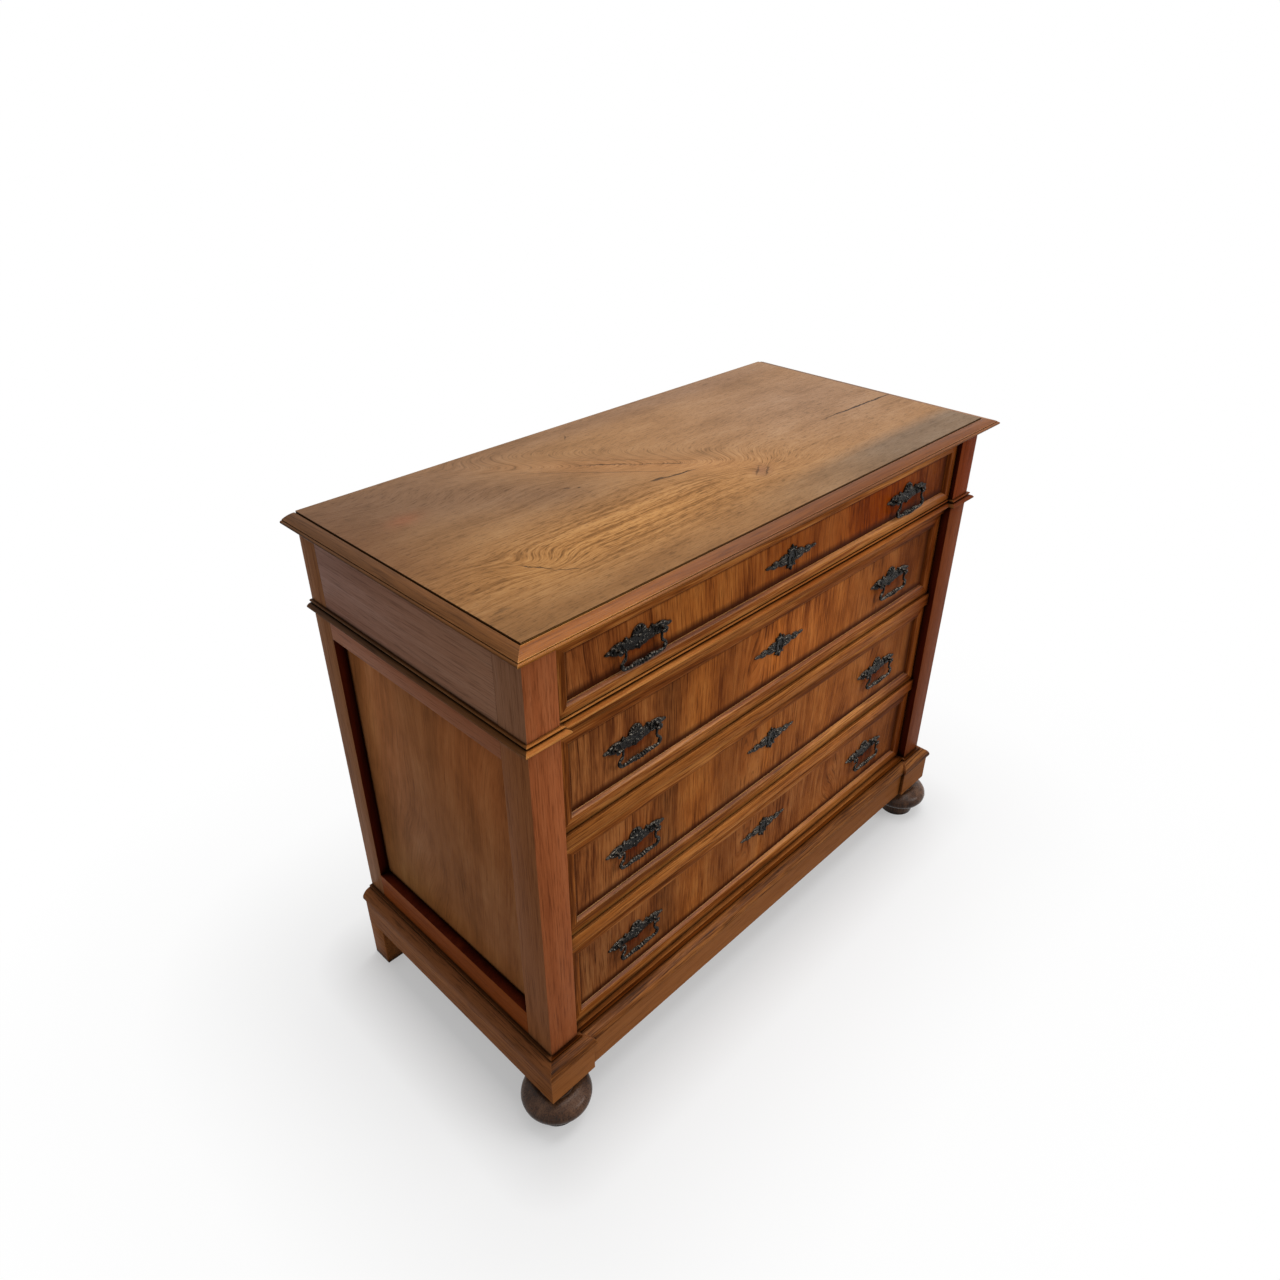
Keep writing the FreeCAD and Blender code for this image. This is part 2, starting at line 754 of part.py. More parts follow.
def front_frame(drawer):
    """Four strips mitred round the panel, with a bevel down to it."""
    flat = (drawer.side, drawer.edge)
    full = (drawer.side * (1 + BEVEL_W / drawer.edge), drawer.edge + BEVEL_W)
    half_h = drawer.height / 2
    middle = drawer.bottom + half_h

    def corners(inset, depth):
        signs = ((-1, -1), (1, -1), (1, 1), (-1, 1))
        return [
            Vector(
                across * (FRONT_HALF - inset[0]), FRONT_Y + depth, middle + up * (half_h - inset[1])
            )
            for across, up in signs
        ]

    outer_front, outer_back = corners((0, 0), drawer.border_y), corners((0, 0), panel_y(drawer))
    inner_front, inner_back = corners(flat, drawer.border_y), corners(full, panel_y(drawer))
    strips = []
    for index in range(len(outer_front)):
        front = [outer_front[index - 1], outer_front[index], inner_front[index], inner_front[index - 1]]
        back = [outer_back[index - 1], outer_back[index], inner_back[index], inner_back[index - 1]]
        strips.append(ringed([front, back]))
    return strips


def drawer_box(drawer):
    """Two dovetailed sides and the back, over the bottom."""
    top = drawer.bottom + drawer.height - DRAWER_SIDE_DROP
    side = block(BOX_INNER, FRONT_HALF, inner_y(drawer), DRAWER_END, box_low(drawer), top)
    side = single(side.fuse(tails(drawer)).cut(bottom_body(drawer)))
    back_low_edge = box_low(drawer) + DRAWER_BOTTOM_RISE + DRAWER_BOTTOM_T
    back = block(
        -BOX_INNER, BOX_INNER, DRAWER_END - DRAWER_BACK_T, DRAWER_END, back_low_edge, top - DRAWER_BACK_DROP
    )
    return [mirrored(side), side, back]


def lock(drawer):
    """Lock case with the bolt's way and the keyhole."""
    top = drawer.bottom + drawer.height
    way = bolt_room(drawer, RUNNING_GAP, top - BOLT_H - RUNNING_GAP, top)
    return [single(lock_body(drawer).cut([way, keyhole(drawer)]))]


def lock_bolt(drawer):
    """Bolt, drawn in at rest."""
    top = drawer.bottom + drawer.height
    return [bolt_room(drawer, 0, top - BOLT_H, top)]


def escutcheon(drawer):
    """Keyhole plate: an oval with pointed finials, sloping shoulders and leafy arms."""
    half_l, half_h = ESCUTCHEON_L / 2, ESCUTCHEON_H / 2
    rise = OVAL_H / 2
    # A pointed oval as wide as OVAL_W has arcs that leave its long axis by half that width.
    pieces = [leaf((0, -rise), (0, rise), OVAL_W / OVAL_H / 2, ESCUTCHEON_T)]
    pieces.append(leaf((0, -half_h), (0, half_h), FINIAL_W / ESCUTCHEON_H / 2, ESCUTCHEON_T))
    shoulder_top = half_h * SHOULDER_ROOT_SHARE
    across, up = half_l * SHOULDER_END_SHARES[0], half_h * SHOULDER_END_SHARES[1]
    lower = [(-across, -up), (0, -shoulder_top), (across, -up)]
    upper = [(across, up), (0, shoulder_top), (-across, up)]
    pieces.append(flat_piece(lower + upper, ESCUTCHEON_T))
    for hand in (-1, 1):
        for root, tip, bow in zip(ARM_ROOT_SHARES, ARM_TIP_SHARES, ARM_BOW_SHARES):
            pieces.append(leaf((hand * half_l * root, 0), (hand * half_l * tip, 0), bow, ESCUTCHEON_T))
    plate = single(pieces[0].fuse(pieces[1:]))
    plate = seated(plate, 0, panel_y(drawer), drawer.keyhole_z)
    return [single(plate.cut(keyhole(drawer)))]


def handle_plate():
    """One back plate at the origin: field with a pendant, round crest, leaves and tips."""
    half_w, half_l = FIELD_W / 2, PLATE_L / 2
    field = [
        (-half_w, -FIELD_FALL),
        (0, -PENDANT_DROP, LOBE_BOW_SHARE),
        (half_w, -FIELD_FALL, LOBE_BOW_SHARE),
        (half_w, FIELD_RISE),
        (-half_w, FIELD_RISE),
    ]
    crest_z = FIELD_RISE + CREST_LIFT
    crest = leaf((-CREST_R, crest_z), (CREST_R, crest_z), HALF_ROUND_SHARE, PLATE_T)
    pieces = [flat_piece(field, PLATE_T), crest]
    leaf_end = half_l - TIP_L + TIP_LAP
    for hand in (-1, 1):
        ends = (hand * (half_w - LEAF_LAP), 0), (hand * leaf_end, 0)
        pieces.append(leaf(*ends, LEAF_BOW_SHARE, PLATE_T))
        ends = (hand * (half_l - TIP_L), 0), (hand * half_l, 0)
        pieces.append(leaf(*ends, TIP_BOW_SHARE, PLATE_T))
    return single(pieces[0].fuse(pieces[1:]))


def handle_plates(drawer):
    """Both back plates, drilled for the posts."""
    plate = handle_plate()
    holes = [shank_hole(drawer, x) for x, inward in post_places()]
    plates = [seated(plate, hand * HANDLE_X, panel_y(drawer), drawer.handle_z) for hand in (-1, 1)]
    return [single(one.cut(holes)) for one in plates]


def handle_post(drawer, x, inward):
    """A turned post with a shank through the front and a ball end, drilled for the bail's pin."""
    base = Vector(x, FRONT_Y + panel_y(drawer), drawer.handle_z)
    collar_end = PLATE_T + COLLAR_T
    shank_end = -FRONT_T - NUT_T - SHANK_END
    profile = [
        (SHANK_R, shank_end),
        (SHANK_R, PLATE_T),
        (COLLAR_R, PLATE_T),
        (COLLAR_R, collar_end),
        (STEM_R, collar_end),
    ]
    stem_angle = math.acos(STEM_R / BALL_R)
    for share in BALL_RING_SHARES:
        angle = share * stem_angle
        profile.append((BALL_R * math.cos(angle), POST_OUT + BALL_R * math.sin(angle)))
    post = turned(profile, base, FORWARD, UP, POST_SIDES)
    mouth = base + FORWARD * POST_OUT + RIGHT * (inward * (BALL_R + OVERRUN))
    hole_l = OVERRUN + BAIL_PIN_L + RUNNING_GAP
    return single(post.cut(hole(BAIL_PIN_R + PIN_FIT, hole_l, mouth, RIGHT * -inward)))


def handle_posts(drawer):
    """Four posts and the square nuts that hold them inside the drawer."""
    pieces = []
    for x, inward in post_places():
        pieces.append(handle_post(drawer, x, inward))
        half, back = NUT_W / 2, inner_y(drawer)
        z = drawer.handle_z
        nut = block(x - half, x + half, back, back + NUT_T, z - half, z + half)
        start = Vector(x, FRONT_Y + back - OVERRUN, z)
        length = NUT_T + OVERRUN + OVERRUN
        pieces.append(single(nut.cut(hole(SHANK_R + FASTENER_FIT, length, start, -FORWARD))))
    return pieces


def between(start, end, distance):
    """The point that far along the straight run from start to end."""
    share = distance / math.dist(start, end)
    return start[0] + (end[0] - start[0]) * share, start[1] + (end[1] - start[1]) * share


def rounded(points):
    """A path whose corners are rounded by chords; each takes a share of the shorter run beside it."""
    path = points[:1]
    for before, here, after in zip(points, points[1:], points[2:]):
        tangent = BAIL_ROUND_SHARE * min(math.dist(before, here), math.dist(here, after))
        start, end = between(here, before, tangent), between(here, after, tangent)
        arriving = math.atan2(here[1] - before[1], here[0] - before[0])
        turn = math.remainder(math.atan2(after[1] - here[1], after[0] - here[0]) - arriving, 2 * math.pi)
        bend = chord_points(start, (*end, -math.tan(turn / 4) / 2))
        path += [start, *bend] if abs(turn) > CHORD_TURN else [start, end]
    return path + points[-1:]


def bail():
    """One swan-necked bail with a swelling grip, hanging from a pivot line through the origin."""
    half = [
        (BAIL_ARM_X, 0),
        (BAIL_ARM_X - BAIL_NECK_IN, -BAIL_NECK_DROP),
        (BAIL_ARM_X + BAIL_SHOULDER_OUT, -BAIL_SHOULDER_DROP),
        (BAIL_ARM_X - BAIL_FOOT_IN, -BAIL_DROP),
    ]
    path = rounded([(-x, z) for x, z in half] + half[::-1])
    rings = []
    for (x, z), mitre in zip(path, mitres(path)):
        rings.append(
            [
                Vector(x + mitre[0] * a * BAIL_R, b * BAIL_R, z + mitre[1] * a * BAIL_R)
                for a, b in corner_shares(ROD_SIDES)
            ]
        )
    pieces = []
    for hand in (-1, 1):
        eye_start = RIGHT * (hand * (BAIL_ARM_X - BAIL_R))
        pieces.append(rod(BAIL_EYE_R, BAIL_R + BAIL_R, eye_start, RIGHT * hand))
        pin_l = BAIL_R + BAIL_R + RUNNING_GAP + BAIL_PIN_L
        pieces.append(rod(BAIL_PIN_R, pin_l, eye_start, RIGHT * hand))
    radii = (GRIP_END_R, GRIP_R, KNOB_WAIST_R, KNOB_R, KNOB_WAIST_R)
    grip = [(radius, share * GRIP_L / 2) for share, radius in zip(GRIP_PLACE_SHARES, radii)]
    other_half = [(radius, -along) for radius, along in grip[:-1]]
    pieces.append(turned(other_half + grip[::-1], UP * -BAIL_DROP, RIGHT, UP, ROD_SIDES))
    return single(ringed(rings).fuse(pieces))


def main():
    """Write one file for each named piece or group of like pieces."""
    pieces = {
        "top_board": top_board(),
        "top_moulding": top_moulding(),
        "front_posts": front_posts(),
        "back_posts": back_posts(),
        "frieze_boards": frieze_boards(),
        "side_rails": side_rails(),
        "side_panels": side_panels(),
        "waist_moulding": waist_moulding(),
        "front_rails": front_rails(),
        "drawer_runners": drawer_runners(),
        "back_boards": back_boards(),
        "bottom_board": bottom_board(),
        "plinth_boards": plinth_boards(),
        "plinth_moulding": plinth_moulding(),
        "front_feet": front_feet(),
        "back_feet": back_feet(),
    }
    hanging_bail = bail()
    for drawer in DRAWERS:
        name = drawer.name
        pivot_y = panel_y(drawer) - POST_OUT
        pieces[f"{name}_front"] = drawer_front(drawer)
        pieces[f"{name}_front_frame"] = front_frame(drawer)
        pieces[f"{name}_box"] = drawer_box(drawer)
        pieces[f"{name}_bottom"] = [bottom_body(drawer)]
        pieces[f"{name}_lock"] = lock(drawer)
        pieces[f"{name}_lock_bolt"] = lock_bolt(drawer)
        pieces[f"{name}_escutcheon"] = escutcheon(drawer)
        pieces[f"{name}_handle_plates"] = handle_plates(drawer)
        pieces[f"{name}_handle_posts"] = handle_posts(drawer)
        pieces[f"{name}_bail_left"] = [seated(hanging_bail, -HANDLE_X, pivot_y, drawer.handle_z)]
        pieces[f"{name}_bail_right"] = [seated(hanging_bail, HANDLE_X, pivot_y, drawer.handle_z)]
    os.makedirs("parts", exist_ok=True)
    for node, solids in pieces.items():
        Part.makeCompound(solids).exportStep(f"parts/{node}.step")


main()
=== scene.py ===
# %% [markdown]
# # A walnut chest of four drawers
# This lesson dresses a nineteenth century chest of drawers. The pieces come in at their real size and
# place, in metres: X runs to the right, Z runs up and the drawers open towards -Y. What is left to do is
# what the eye reads as old furniture: eased edges, mitred mouldings, figured walnut and dark cast handles.

import json
import math

import bmesh
import bpy
from mathutils import Matrix, Vector
from mathutils.geometry import interpolate_bezier


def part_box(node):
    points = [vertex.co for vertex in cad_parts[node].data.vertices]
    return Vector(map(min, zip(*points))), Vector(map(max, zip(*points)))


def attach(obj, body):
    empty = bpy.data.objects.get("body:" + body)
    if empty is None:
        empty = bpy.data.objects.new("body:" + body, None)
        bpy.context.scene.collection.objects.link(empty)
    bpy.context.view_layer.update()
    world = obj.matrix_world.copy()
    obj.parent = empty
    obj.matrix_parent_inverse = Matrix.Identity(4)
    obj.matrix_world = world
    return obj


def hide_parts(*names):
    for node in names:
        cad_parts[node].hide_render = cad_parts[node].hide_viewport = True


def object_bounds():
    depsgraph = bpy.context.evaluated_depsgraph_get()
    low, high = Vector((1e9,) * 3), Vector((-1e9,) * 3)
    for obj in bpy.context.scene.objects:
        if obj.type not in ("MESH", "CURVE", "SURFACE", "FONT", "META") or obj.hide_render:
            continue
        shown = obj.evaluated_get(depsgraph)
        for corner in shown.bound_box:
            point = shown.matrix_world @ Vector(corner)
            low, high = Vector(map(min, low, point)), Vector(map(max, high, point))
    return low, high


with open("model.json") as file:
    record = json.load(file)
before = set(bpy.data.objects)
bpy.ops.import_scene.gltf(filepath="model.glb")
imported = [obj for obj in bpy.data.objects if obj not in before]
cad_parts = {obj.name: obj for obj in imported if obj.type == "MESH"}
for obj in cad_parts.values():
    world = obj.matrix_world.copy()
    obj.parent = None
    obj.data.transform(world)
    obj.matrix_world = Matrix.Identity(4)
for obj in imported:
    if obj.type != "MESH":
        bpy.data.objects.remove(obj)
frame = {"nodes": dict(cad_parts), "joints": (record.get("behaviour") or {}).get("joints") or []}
CHEST_LOW, CHEST_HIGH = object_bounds()
CARCASE = "carcase"
DRAWERS = ("drawer_1", "drawer_2", "drawer_3", "drawer_4")
HANDS = (-1, 1)
MM = 0.001
print("pieces of the chest:", len(frame["nodes"]))

# %% [markdown]
# ## The studio
# The photograph was taken by someone standing at the left of the front and looking down. The camera's place
# and lens follow from the way the chest's parallel edges meet, so the picture lines up without fitting.
# A low lens number is a wide lens, which is why the near corner looms and the far one shrinks.

# %% Camera
CAMERA_PLACE = (-1.1484, -1.0227, 1.586)
CAMERA_YAW = math.radians(45.43)
CAMERA_PITCH = math.radians(32.1)
LENS_MM = 26.76
SENSOR_MM = 36.0

scene = bpy.context.scene
camera_data = bpy.data.cameras.new("camera")
camera_data.lens = LENS_MM
camera_data.sensor_width = SENSOR_MM
camera = bpy.data.objects.new("camera", camera_data)
camera.location = CAMERA_PLACE
camera.rotation_euler = (math.pi / 2 - CAMERA_PITCH, 0.0, -CAMERA_YAW)
scene.collection.objects.link(camera)
scene.camera = camera
scene.view_settings.view_transform = "Standard"
print("camera at", tuple(camera.location))

# %% [markdown]
# ## Node helpers
# Every finish below is a small network of nodes. Written out in full, a network hides its idea among dozens
# of link lines, so one helper makes a node, sets it and wires its inputs in a single call. The others give
# the sums and fields that come up again and again a short name.

# %% Node helpers
ORIGIN = (0.0, 0.0, 0.0)
WHITE = (1.0, 1.0, 1.0, 1.0)


def set_inputs(tree, node, inputs):
    """Give a node its inputs: a socket of another node is linked, a plain value is set."""
    for name, value in inputs.items():
        if isinstance(value, bpy.types.NodeSocket):
            tree.links.new(value, node.inputs[name])
        else:
            node.inputs[name].default_value = value


def add_node(tree, kind, inputs, **settings):
    """The outputs of a new shader node."""
    node = tree.nodes.new(f"ShaderNode{kind}")
    for name, value in settings.items():
        setattr(node, name, value)
    set_inputs(tree, node, inputs)
    return node.outputs


def new_paint(name):
    """A material with its node tree and its main shader."""
    paint = bpy.data.materials.new(name)
    paint.use_nodes = True
    return paint, paint.node_tree, paint.node_tree.nodes["Principled BSDF"]


def object_place(tree):
    """The place of a point on the chest."""
    return add_node(tree, "TexCoord", {})["Object"]


def split(tree, vector):
    """The parts of a vector, named X, Y and Z."""
    return add_node(tree, "SeparateXYZ", {0: vector})


def calc(tree, operation, first, second=0.0):
    """The result of one sum."""
    return add_node(tree, "Math", {0: first, 1: second}, operation=operation)[0]


def times(tree, first, second):
    """The product of two values."""
    return calc(tree, "MULTIPLY", first, second)


def vector_calc(tree, operation, first, second=ORIGIN, third=ORIGIN, output=0):
    """The result of one sum of vectors."""
    return add_node(tree, "VectorMath", {0: first, 1: second, 2: third}, operation=operation)[output]


def mix_colours(tree, share, first, second, blend="MIX"):
    """Two colours mixed by a share; a plain colour is three numbers."""
    first, second = [(*side, 1.0) if isinstance(side, tuple) else side for side in (first, second)]
    return add_node(tree, "Mix", {0: share, 6: first, 7: second}, data_type="RGBA", blend_type=blend)[2]


def ramp(tree, value, stops):
    """Colours that follow a value, from stops of place and colour."""
    colour = add_node(tree, "ValToRGB", {0: value})[0]
    elements = colour.node.color_ramp.elements
    while len(elements) < len(stops):
        elements.new(0.5)
    for element, (place, tone) in zip(elements, stops):
        element.position = place
        element.color = (*tone, 1.0)
    return colour


def noise(tree, vector, scale, detail, roughness=0.5, output="Fac"):
    """The grey value or the colour of a noise field."""
    inputs = {"Vector": vector, "Scale": scale, "Detail": detail, "Roughness": roughness}
    return add_node(tree, "TexNoise", inputs)[output]


def rescale(tree, value, low, high, new_low, new_high):
    """A value moved from one range to another and held inside it."""
    return add_node(tree, "MapRange", {"Value": value, 1: low, 2: high, 3: new_low, 4: new_high})[0]


def relief(tree, height, strength, depth):
    """A bump with a depth in metres."""
    return add_node(tree, "Bump", {"Strength": strength, "Distance": depth, "Height": height})[0]


print("node helpers ready")

# %% [markdown]
# ## Light, floor and backdrop
# The chest stands on a white sweep. One wide soft lamp hangs over it, a second comes from the right of the
# front, and the world fills the shadows. The left side gets no lamp of its own, which is why it reads darker
# than the drawers. The floor throws little light back, so undersides stay dark. Its own white glow grows
# with the distance from the chest, so that the soft shadow shows close by and the sweep is white beyond.

# %% Light
WORLD_FILL = 0.34
TOP_LAMP = {"place": (0.5, 0.0, 3.0), "aim": (0.0, 0.0, 0.9), "size": 2.4, "power": 50.0}
FRONT_LAMP = {"place": (1.3, -2.6, 2.2), "aim": (0.1, -0.2, 0.5), "size": 1.6, "power": 31.0}


def soft_lamp(name, place, aim, size, power):
    """A square lamp that looks at a point."""
    data = bpy.data.lights.new(name, "AREA")
    data.shape = "SQUARE"
    data.size = size
    data.energy = power
    lamp = bpy.data.objects.new(name, data)
    lamp.location = place
    lamp.rotation_euler = (Vector(aim) - Vector(place)).to_track_quat("-Z", "Y").to_euler()
    scene.collection.objects.link(lamp)


def seen_directly(tree):
    """One for rays from the camera or from a mirror-like bounce, else zero."""
    path = add_node(tree, "LightPath", {})
    bounced = calc(tree, "MAXIMUM", path["Is Glossy Ray"], path["Is Transmission Ray"])
    return calc(tree, "MAXIMUM", path["Is Camera Ray"], bounced)


soft_lamp("top_lamp", **TOP_LAMP)
soft_lamp("front_lamp", **FRONT_LAMP)
world = bpy.data.worlds.new("studio")
world.use_nodes = True
scene.world = world
sky = world.node_tree
sky_light = rescale(sky, seen_directly(sky), 0.0, 1.0, WORLD_FILL, 1.0)
set_inputs(sky, sky.nodes["Background"], {"Color": WHITE, "Strength": sky_light})
print("lamps:", len(bpy.data.lights))

# %% Floor
FLOOR_HALF = 60.0
FLOOR_WHITE = 0.9
FLOOR_BOUNCE = 0.3
FOOTPRINT_HALF = (0.59, 0.27, 0.0)
GLOW_STOPS = ((0.0, (0.36,) * 3), (0.13, (0.74,) * 3), (0.45, (0.95,) * 3), (0.8, (1.0,) * 3))

floor_mesh = bpy.data.meshes.new("floor")
floor_shape = bmesh.new()
bmesh.ops.create_grid(floor_shape, x_segments=1, y_segments=1, size=FLOOR_HALF)
floor_shape.to_mesh(floor_mesh)
floor_shape.free()
floor = bpy.data.objects.new("floor", floor_mesh)
scene.collection.objects.link(floor)

floor_paint, tree, shader = new_paint("floor_paint")
seen = seen_directly(tree)
floor_grey = rescale(tree, seen, 0.0, 1.0, FLOOR_BOUNCE, FLOOR_WHITE)
set_inputs(tree, shader, {"Base Color": floor_grey, "Roughness": 1.0, "Specular IOR Level": 0.0})
outside = object_place(tree)
for operation, other in (("ABSOLUTE", ORIGIN), ("SUBTRACT", FOOTPRINT_HALF), ("MAXIMUM", ORIGIN)):
    outside = vector_calc(tree, operation, outside, other)
distance = vector_calc(tree, "LENGTH", outside, output="Value")
glow_share = times(tree, seen, ramp(tree, distance, GLOW_STOPS))
white_glow = add_node(tree, "Emission", {"Color": WHITE, "Strength": 1.0})[0]
floor_mix = add_node(tree, "MixShader", {0: glow_share, 1: shader.outputs[0], 2: white_glow})[0]
set_inputs(tree, tree.nodes["Material Output"], {"Surface": floor_mix})
floor_mesh.materials.append(floor_paint)
print("floor is", 2 * FLOOR_HALF, "m wide")

# %% [markdown]
# ## Walnut
# Wood is a stack of growth layers, and a board shows them as the contour lines of a hilly map. Straight
# boards get lines that run along one axis. Figured boards get hills added to the map, and the lines bend
# round them, which is how cathedrals and knots come about in a real log. Over the lines lie fine fibres,
# short dark pores and a slow change of tone. Corners and recesses are darkened, which is dirt and painted
# shade together. Edges are rubbed paler, which is wear and a painted highlight, and faces that look up
# have a gloss of their own, because they are dusted more often. An image would be quicker, but it could
# not follow the pieces from every side.

# %% Wood helpers
AXES = "XYZ"
LINE_STRETCH = 22.0
FIBRE_STRETCH = 34.0
BROAD_SHARE = 0.2
SOFT_DETAIL, LINE_DETAIL = 2.0, 5.0
FINE_PORES = 1100.0
COARSE_PORES = 420.0
FINE_GAPS = (0.34, 0.46)
COARSE_GAPS = (0.36, 0.44)
PORE_DARK = 0.7
TONE_STOPS = (0.36, 0.5, 0.64)
LINE_RANGE = (0.3, 0.7)
ROUGHER, SMOOTHER = 0.1, 0.05
# Ambient occlusion over which corners, creases and recesses darken: painted shade and dirt.
CLOSED_CORNER = (0.45, 0.92)
LOOKS_UP = (0.1, 0.5)
RELIEF_SHARES = (0.4, 0.6)
WOOD_RELIEF = (0.3, 0.6 * MM)
DIRT_COLOUR = (0.018, 0.006, 0.002)
# Edges are found within this reach and lightened: wear and a painted highlight.
EDGE_WEAR_AND_HIGHLIGHT = 2.0 * MM
EDGE_TURN = (0.9, 0.985)
EDGE_SAMPLES, CORNER_SAMPLES = 4, 8
# In a finish, the reach and floor of the darkening in corners are painted shade and dirt; the strength and
# tone of the paler edges are wear and a painted highlight.
USUAL_FINISH = {
    "sheen": 0.4, "gloss": 0.015, "dusted": 0.04, "dirt": 0.02, "grime_and_shade": 0.1, "pores": 0.6, "wear": 0.0,
    "worn_highlight_tone": None, "washes": (), "mark": DIRT_COLOUR, "contrast": 1.0,
}


def weighted(tree, parts):
    """The sum of values times their weights."""
    total = 0.0
    for value, weight in parts:
        total = calc(tree, "ADD", times(tree, value, weight), total)
    return total


def facing_up(tree, direction):
    """One for a surface that looks up, by its true or its smoothed direction."""
    return split(tree, add_node(tree, "NewGeometry", {})[direction])["Z"]


def edge_wear(tree):
    """One close to an edge, where the direction of the surface turns within a short reach; such edges get
    wear and a painted highlight.
    """
    rounded = add_node(tree, "Bevel", {"Radius": EDGE_WEAR_AND_HIGHLIGHT}, samples=EDGE_SAMPLES)[0]
    flat = add_node(tree, "NewGeometry", {})["True Normal"]
    likeness = vector_calc(tree, "DOT_PRODUCT", rounded, flat, output="Value")
    return rescale(tree, likeness, *EDGE_TURN, 1.0, 0.0)


def finish_wood(tree, shader, value, pores, look, tints=(), marks=None):
    """Colour, gloss and relief of waxed wood from its lines and pores, with dirt and painted shade in corners
    and wear with a painted highlight on edges; look holds the finish's values.
    """
    colour = ramp(tree, value, list(zip(TONE_STOPS, look["tones"])))
    colour = mix_colours(tree, 1.0, colour, pores, "MULTIPLY")
    height = weighted(tree, zip((value, pores), RELIEF_SHARES))
    # Edges lightened towards a paler tone: wear and a painted highlight.
    if look["wear"]:
        rubbed_and_lit = times(tree, edge_wear(tree), look["wear"])
        colour = mix_colours(tree, rubbed_and_lit, colour, look["worn_highlight_tone"] or look["tones"][-1])
    for mask, tint, share in tints:
        colour = mix_colours(tree, times(tree, mask, share), colour, tint, "MULTIPLY")
    # Marks are cracks on the top, and on the drawer panels a band of dirt and painted shade along the border.
    if marks is not None:
        colour = mix_colours(tree, marks, colour, look["mark"])
        height = calc(tree, "SUBTRACT", height, marks)
    # Painted shade and dirt: the colour darkens where ambient occlusion finds a corner, crease or recess.
    reach = {"Distance": look["dirt"]}
    openness = add_node(tree, "AmbientOcclusion", reach, samples=CORNER_SAMPLES)["AO"]
    grime_and_shade = rescale(tree, openness, *CLOSED_CORNER, look["grime_and_shade"], 1.0)
    sheen = look["sheen"]
    upward = facing_up(tree, "True Normal")
    set_inputs(tree, shader, {
        "Base Color": mix_colours(tree, 1.0, colour, grime_and_shade, "MULTIPLY"),
        "Roughness": rescale(tree, value, *LINE_RANGE, sheen + ROUGHER, sheen - SMOOTHER),
        "Specular IOR Level": rescale(tree, upward, *LOOKS_UP, look["gloss"], look["dusted"]),
        "Normal": relief(tree, height, *WOOD_RELIEF),
    })


def washed(tree, place, washes):
    """Tints with masks that rise from zero to one along one or more axes."""
    parts = split(tree, place)
    tints = []
    for tint, *spans in washes:
        mask = 1.0
        for axis, start, end in spans:
            mask = times(tree, rescale(tree, parts[axis], start, end, 0.0, 1.0), mask)
        tints.append((mask, tint, 1.0))
    return tints


def pore_lines(tree, fine, coarse, depth):
    """A grey that darkens in thin short dashes where the wood's pores are cut open."""
    dark = 1.0 - PORE_DARK * depth
    thin, thick = rescale(tree, fine, *FINE_GAPS, dark, 1.0), rescale(tree, coarse, *COARSE_GAPS, dark, 1.0)
    return times(tree, thin, thick)


def jostled(tree, place, scale, detail, reach, middle=0.0):
    """A place pushed about by coloured noise, up to a reach."""
    push = vector_calc(tree, "SUBTRACT", noise(tree, place, scale, detail, output="Color"), (middle,) * 3)
    return vector_calc(tree, "MULTIPLY_ADD", push, (reach,) * 3, place)


print("wood helpers ready; a finish has", len(USUAL_FINISH), "values")

# %% Straight walnut
SWAY_SCALE, SWAY_DETAIL = 3.0, 1.0
LINE_SHARES = (0.4, 0.4, 0.2)
LINE_ROUGH, PORE_ROUGH = 0.66, 0.6


def straight_wood(name, along, tones, lines=70.0, waver=0.015, **finish):
    """Wood whose lines run along one axis of the chest."""
    paint, tree, shader = new_paint(name)
    place = object_place(tree)
    swayed = jostled(tree, place, SWAY_SCALE, SWAY_DETAIL, waver)

    def streaks(stretch, scale, detail, roughness):
        """Noise drawn out along the board."""
        squeeze = [1.0 / stretch if axis == along else 1.0 for axis in AXES]
        drawn = add_node(tree, "Mapping", {"Vector": swayed, "Scale": squeeze})[0]
        return noise(tree, drawn, scale, detail, roughness)

    broad = streaks(LINE_STRETCH, lines * BROAD_SHARE, SOFT_DETAIL, 0.5)
    growth = streaks(LINE_STRETCH, lines, LINE_DETAIL, LINE_ROUGH)
    fine = streaks(FIBRE_STRETCH, FINE_PORES, SOFT_DETAIL, PORE_ROUGH)
    coarse = streaks(FIBRE_STRETCH, COARSE_PORES, SOFT_DETAIL, PORE_ROUGH)
    look = {"tones": tones, **USUAL_FINISH, **finish}
    half = 0.5 / look["contrast"]
    value = weighted(tree, zip((broad, growth, coarse), LINE_SHARES))
    value = rescale(tree, value, 0.5 - half, 0.5 + half, 0.0, 1.0)
    pores = pore_lines(tree, fine, coarse, look["pores"])
    finish_wood(tree, shader, value, pores, look, washed(tree, place, look["washes"]))
    return paint


print("straight walnut is drawn out", LINE_STRETCH, "times")

# %% Tones of the walnut
RED_WALNUT = ((0.32, 0.082, 0.026), (0.46, 0.13, 0.042), (0.56, 0.18, 0.066))
GOLD_WALNUT = ((0.17, 0.043, 0.007), (0.38, 0.11, 0.02), (0.66, 0.25, 0.06))
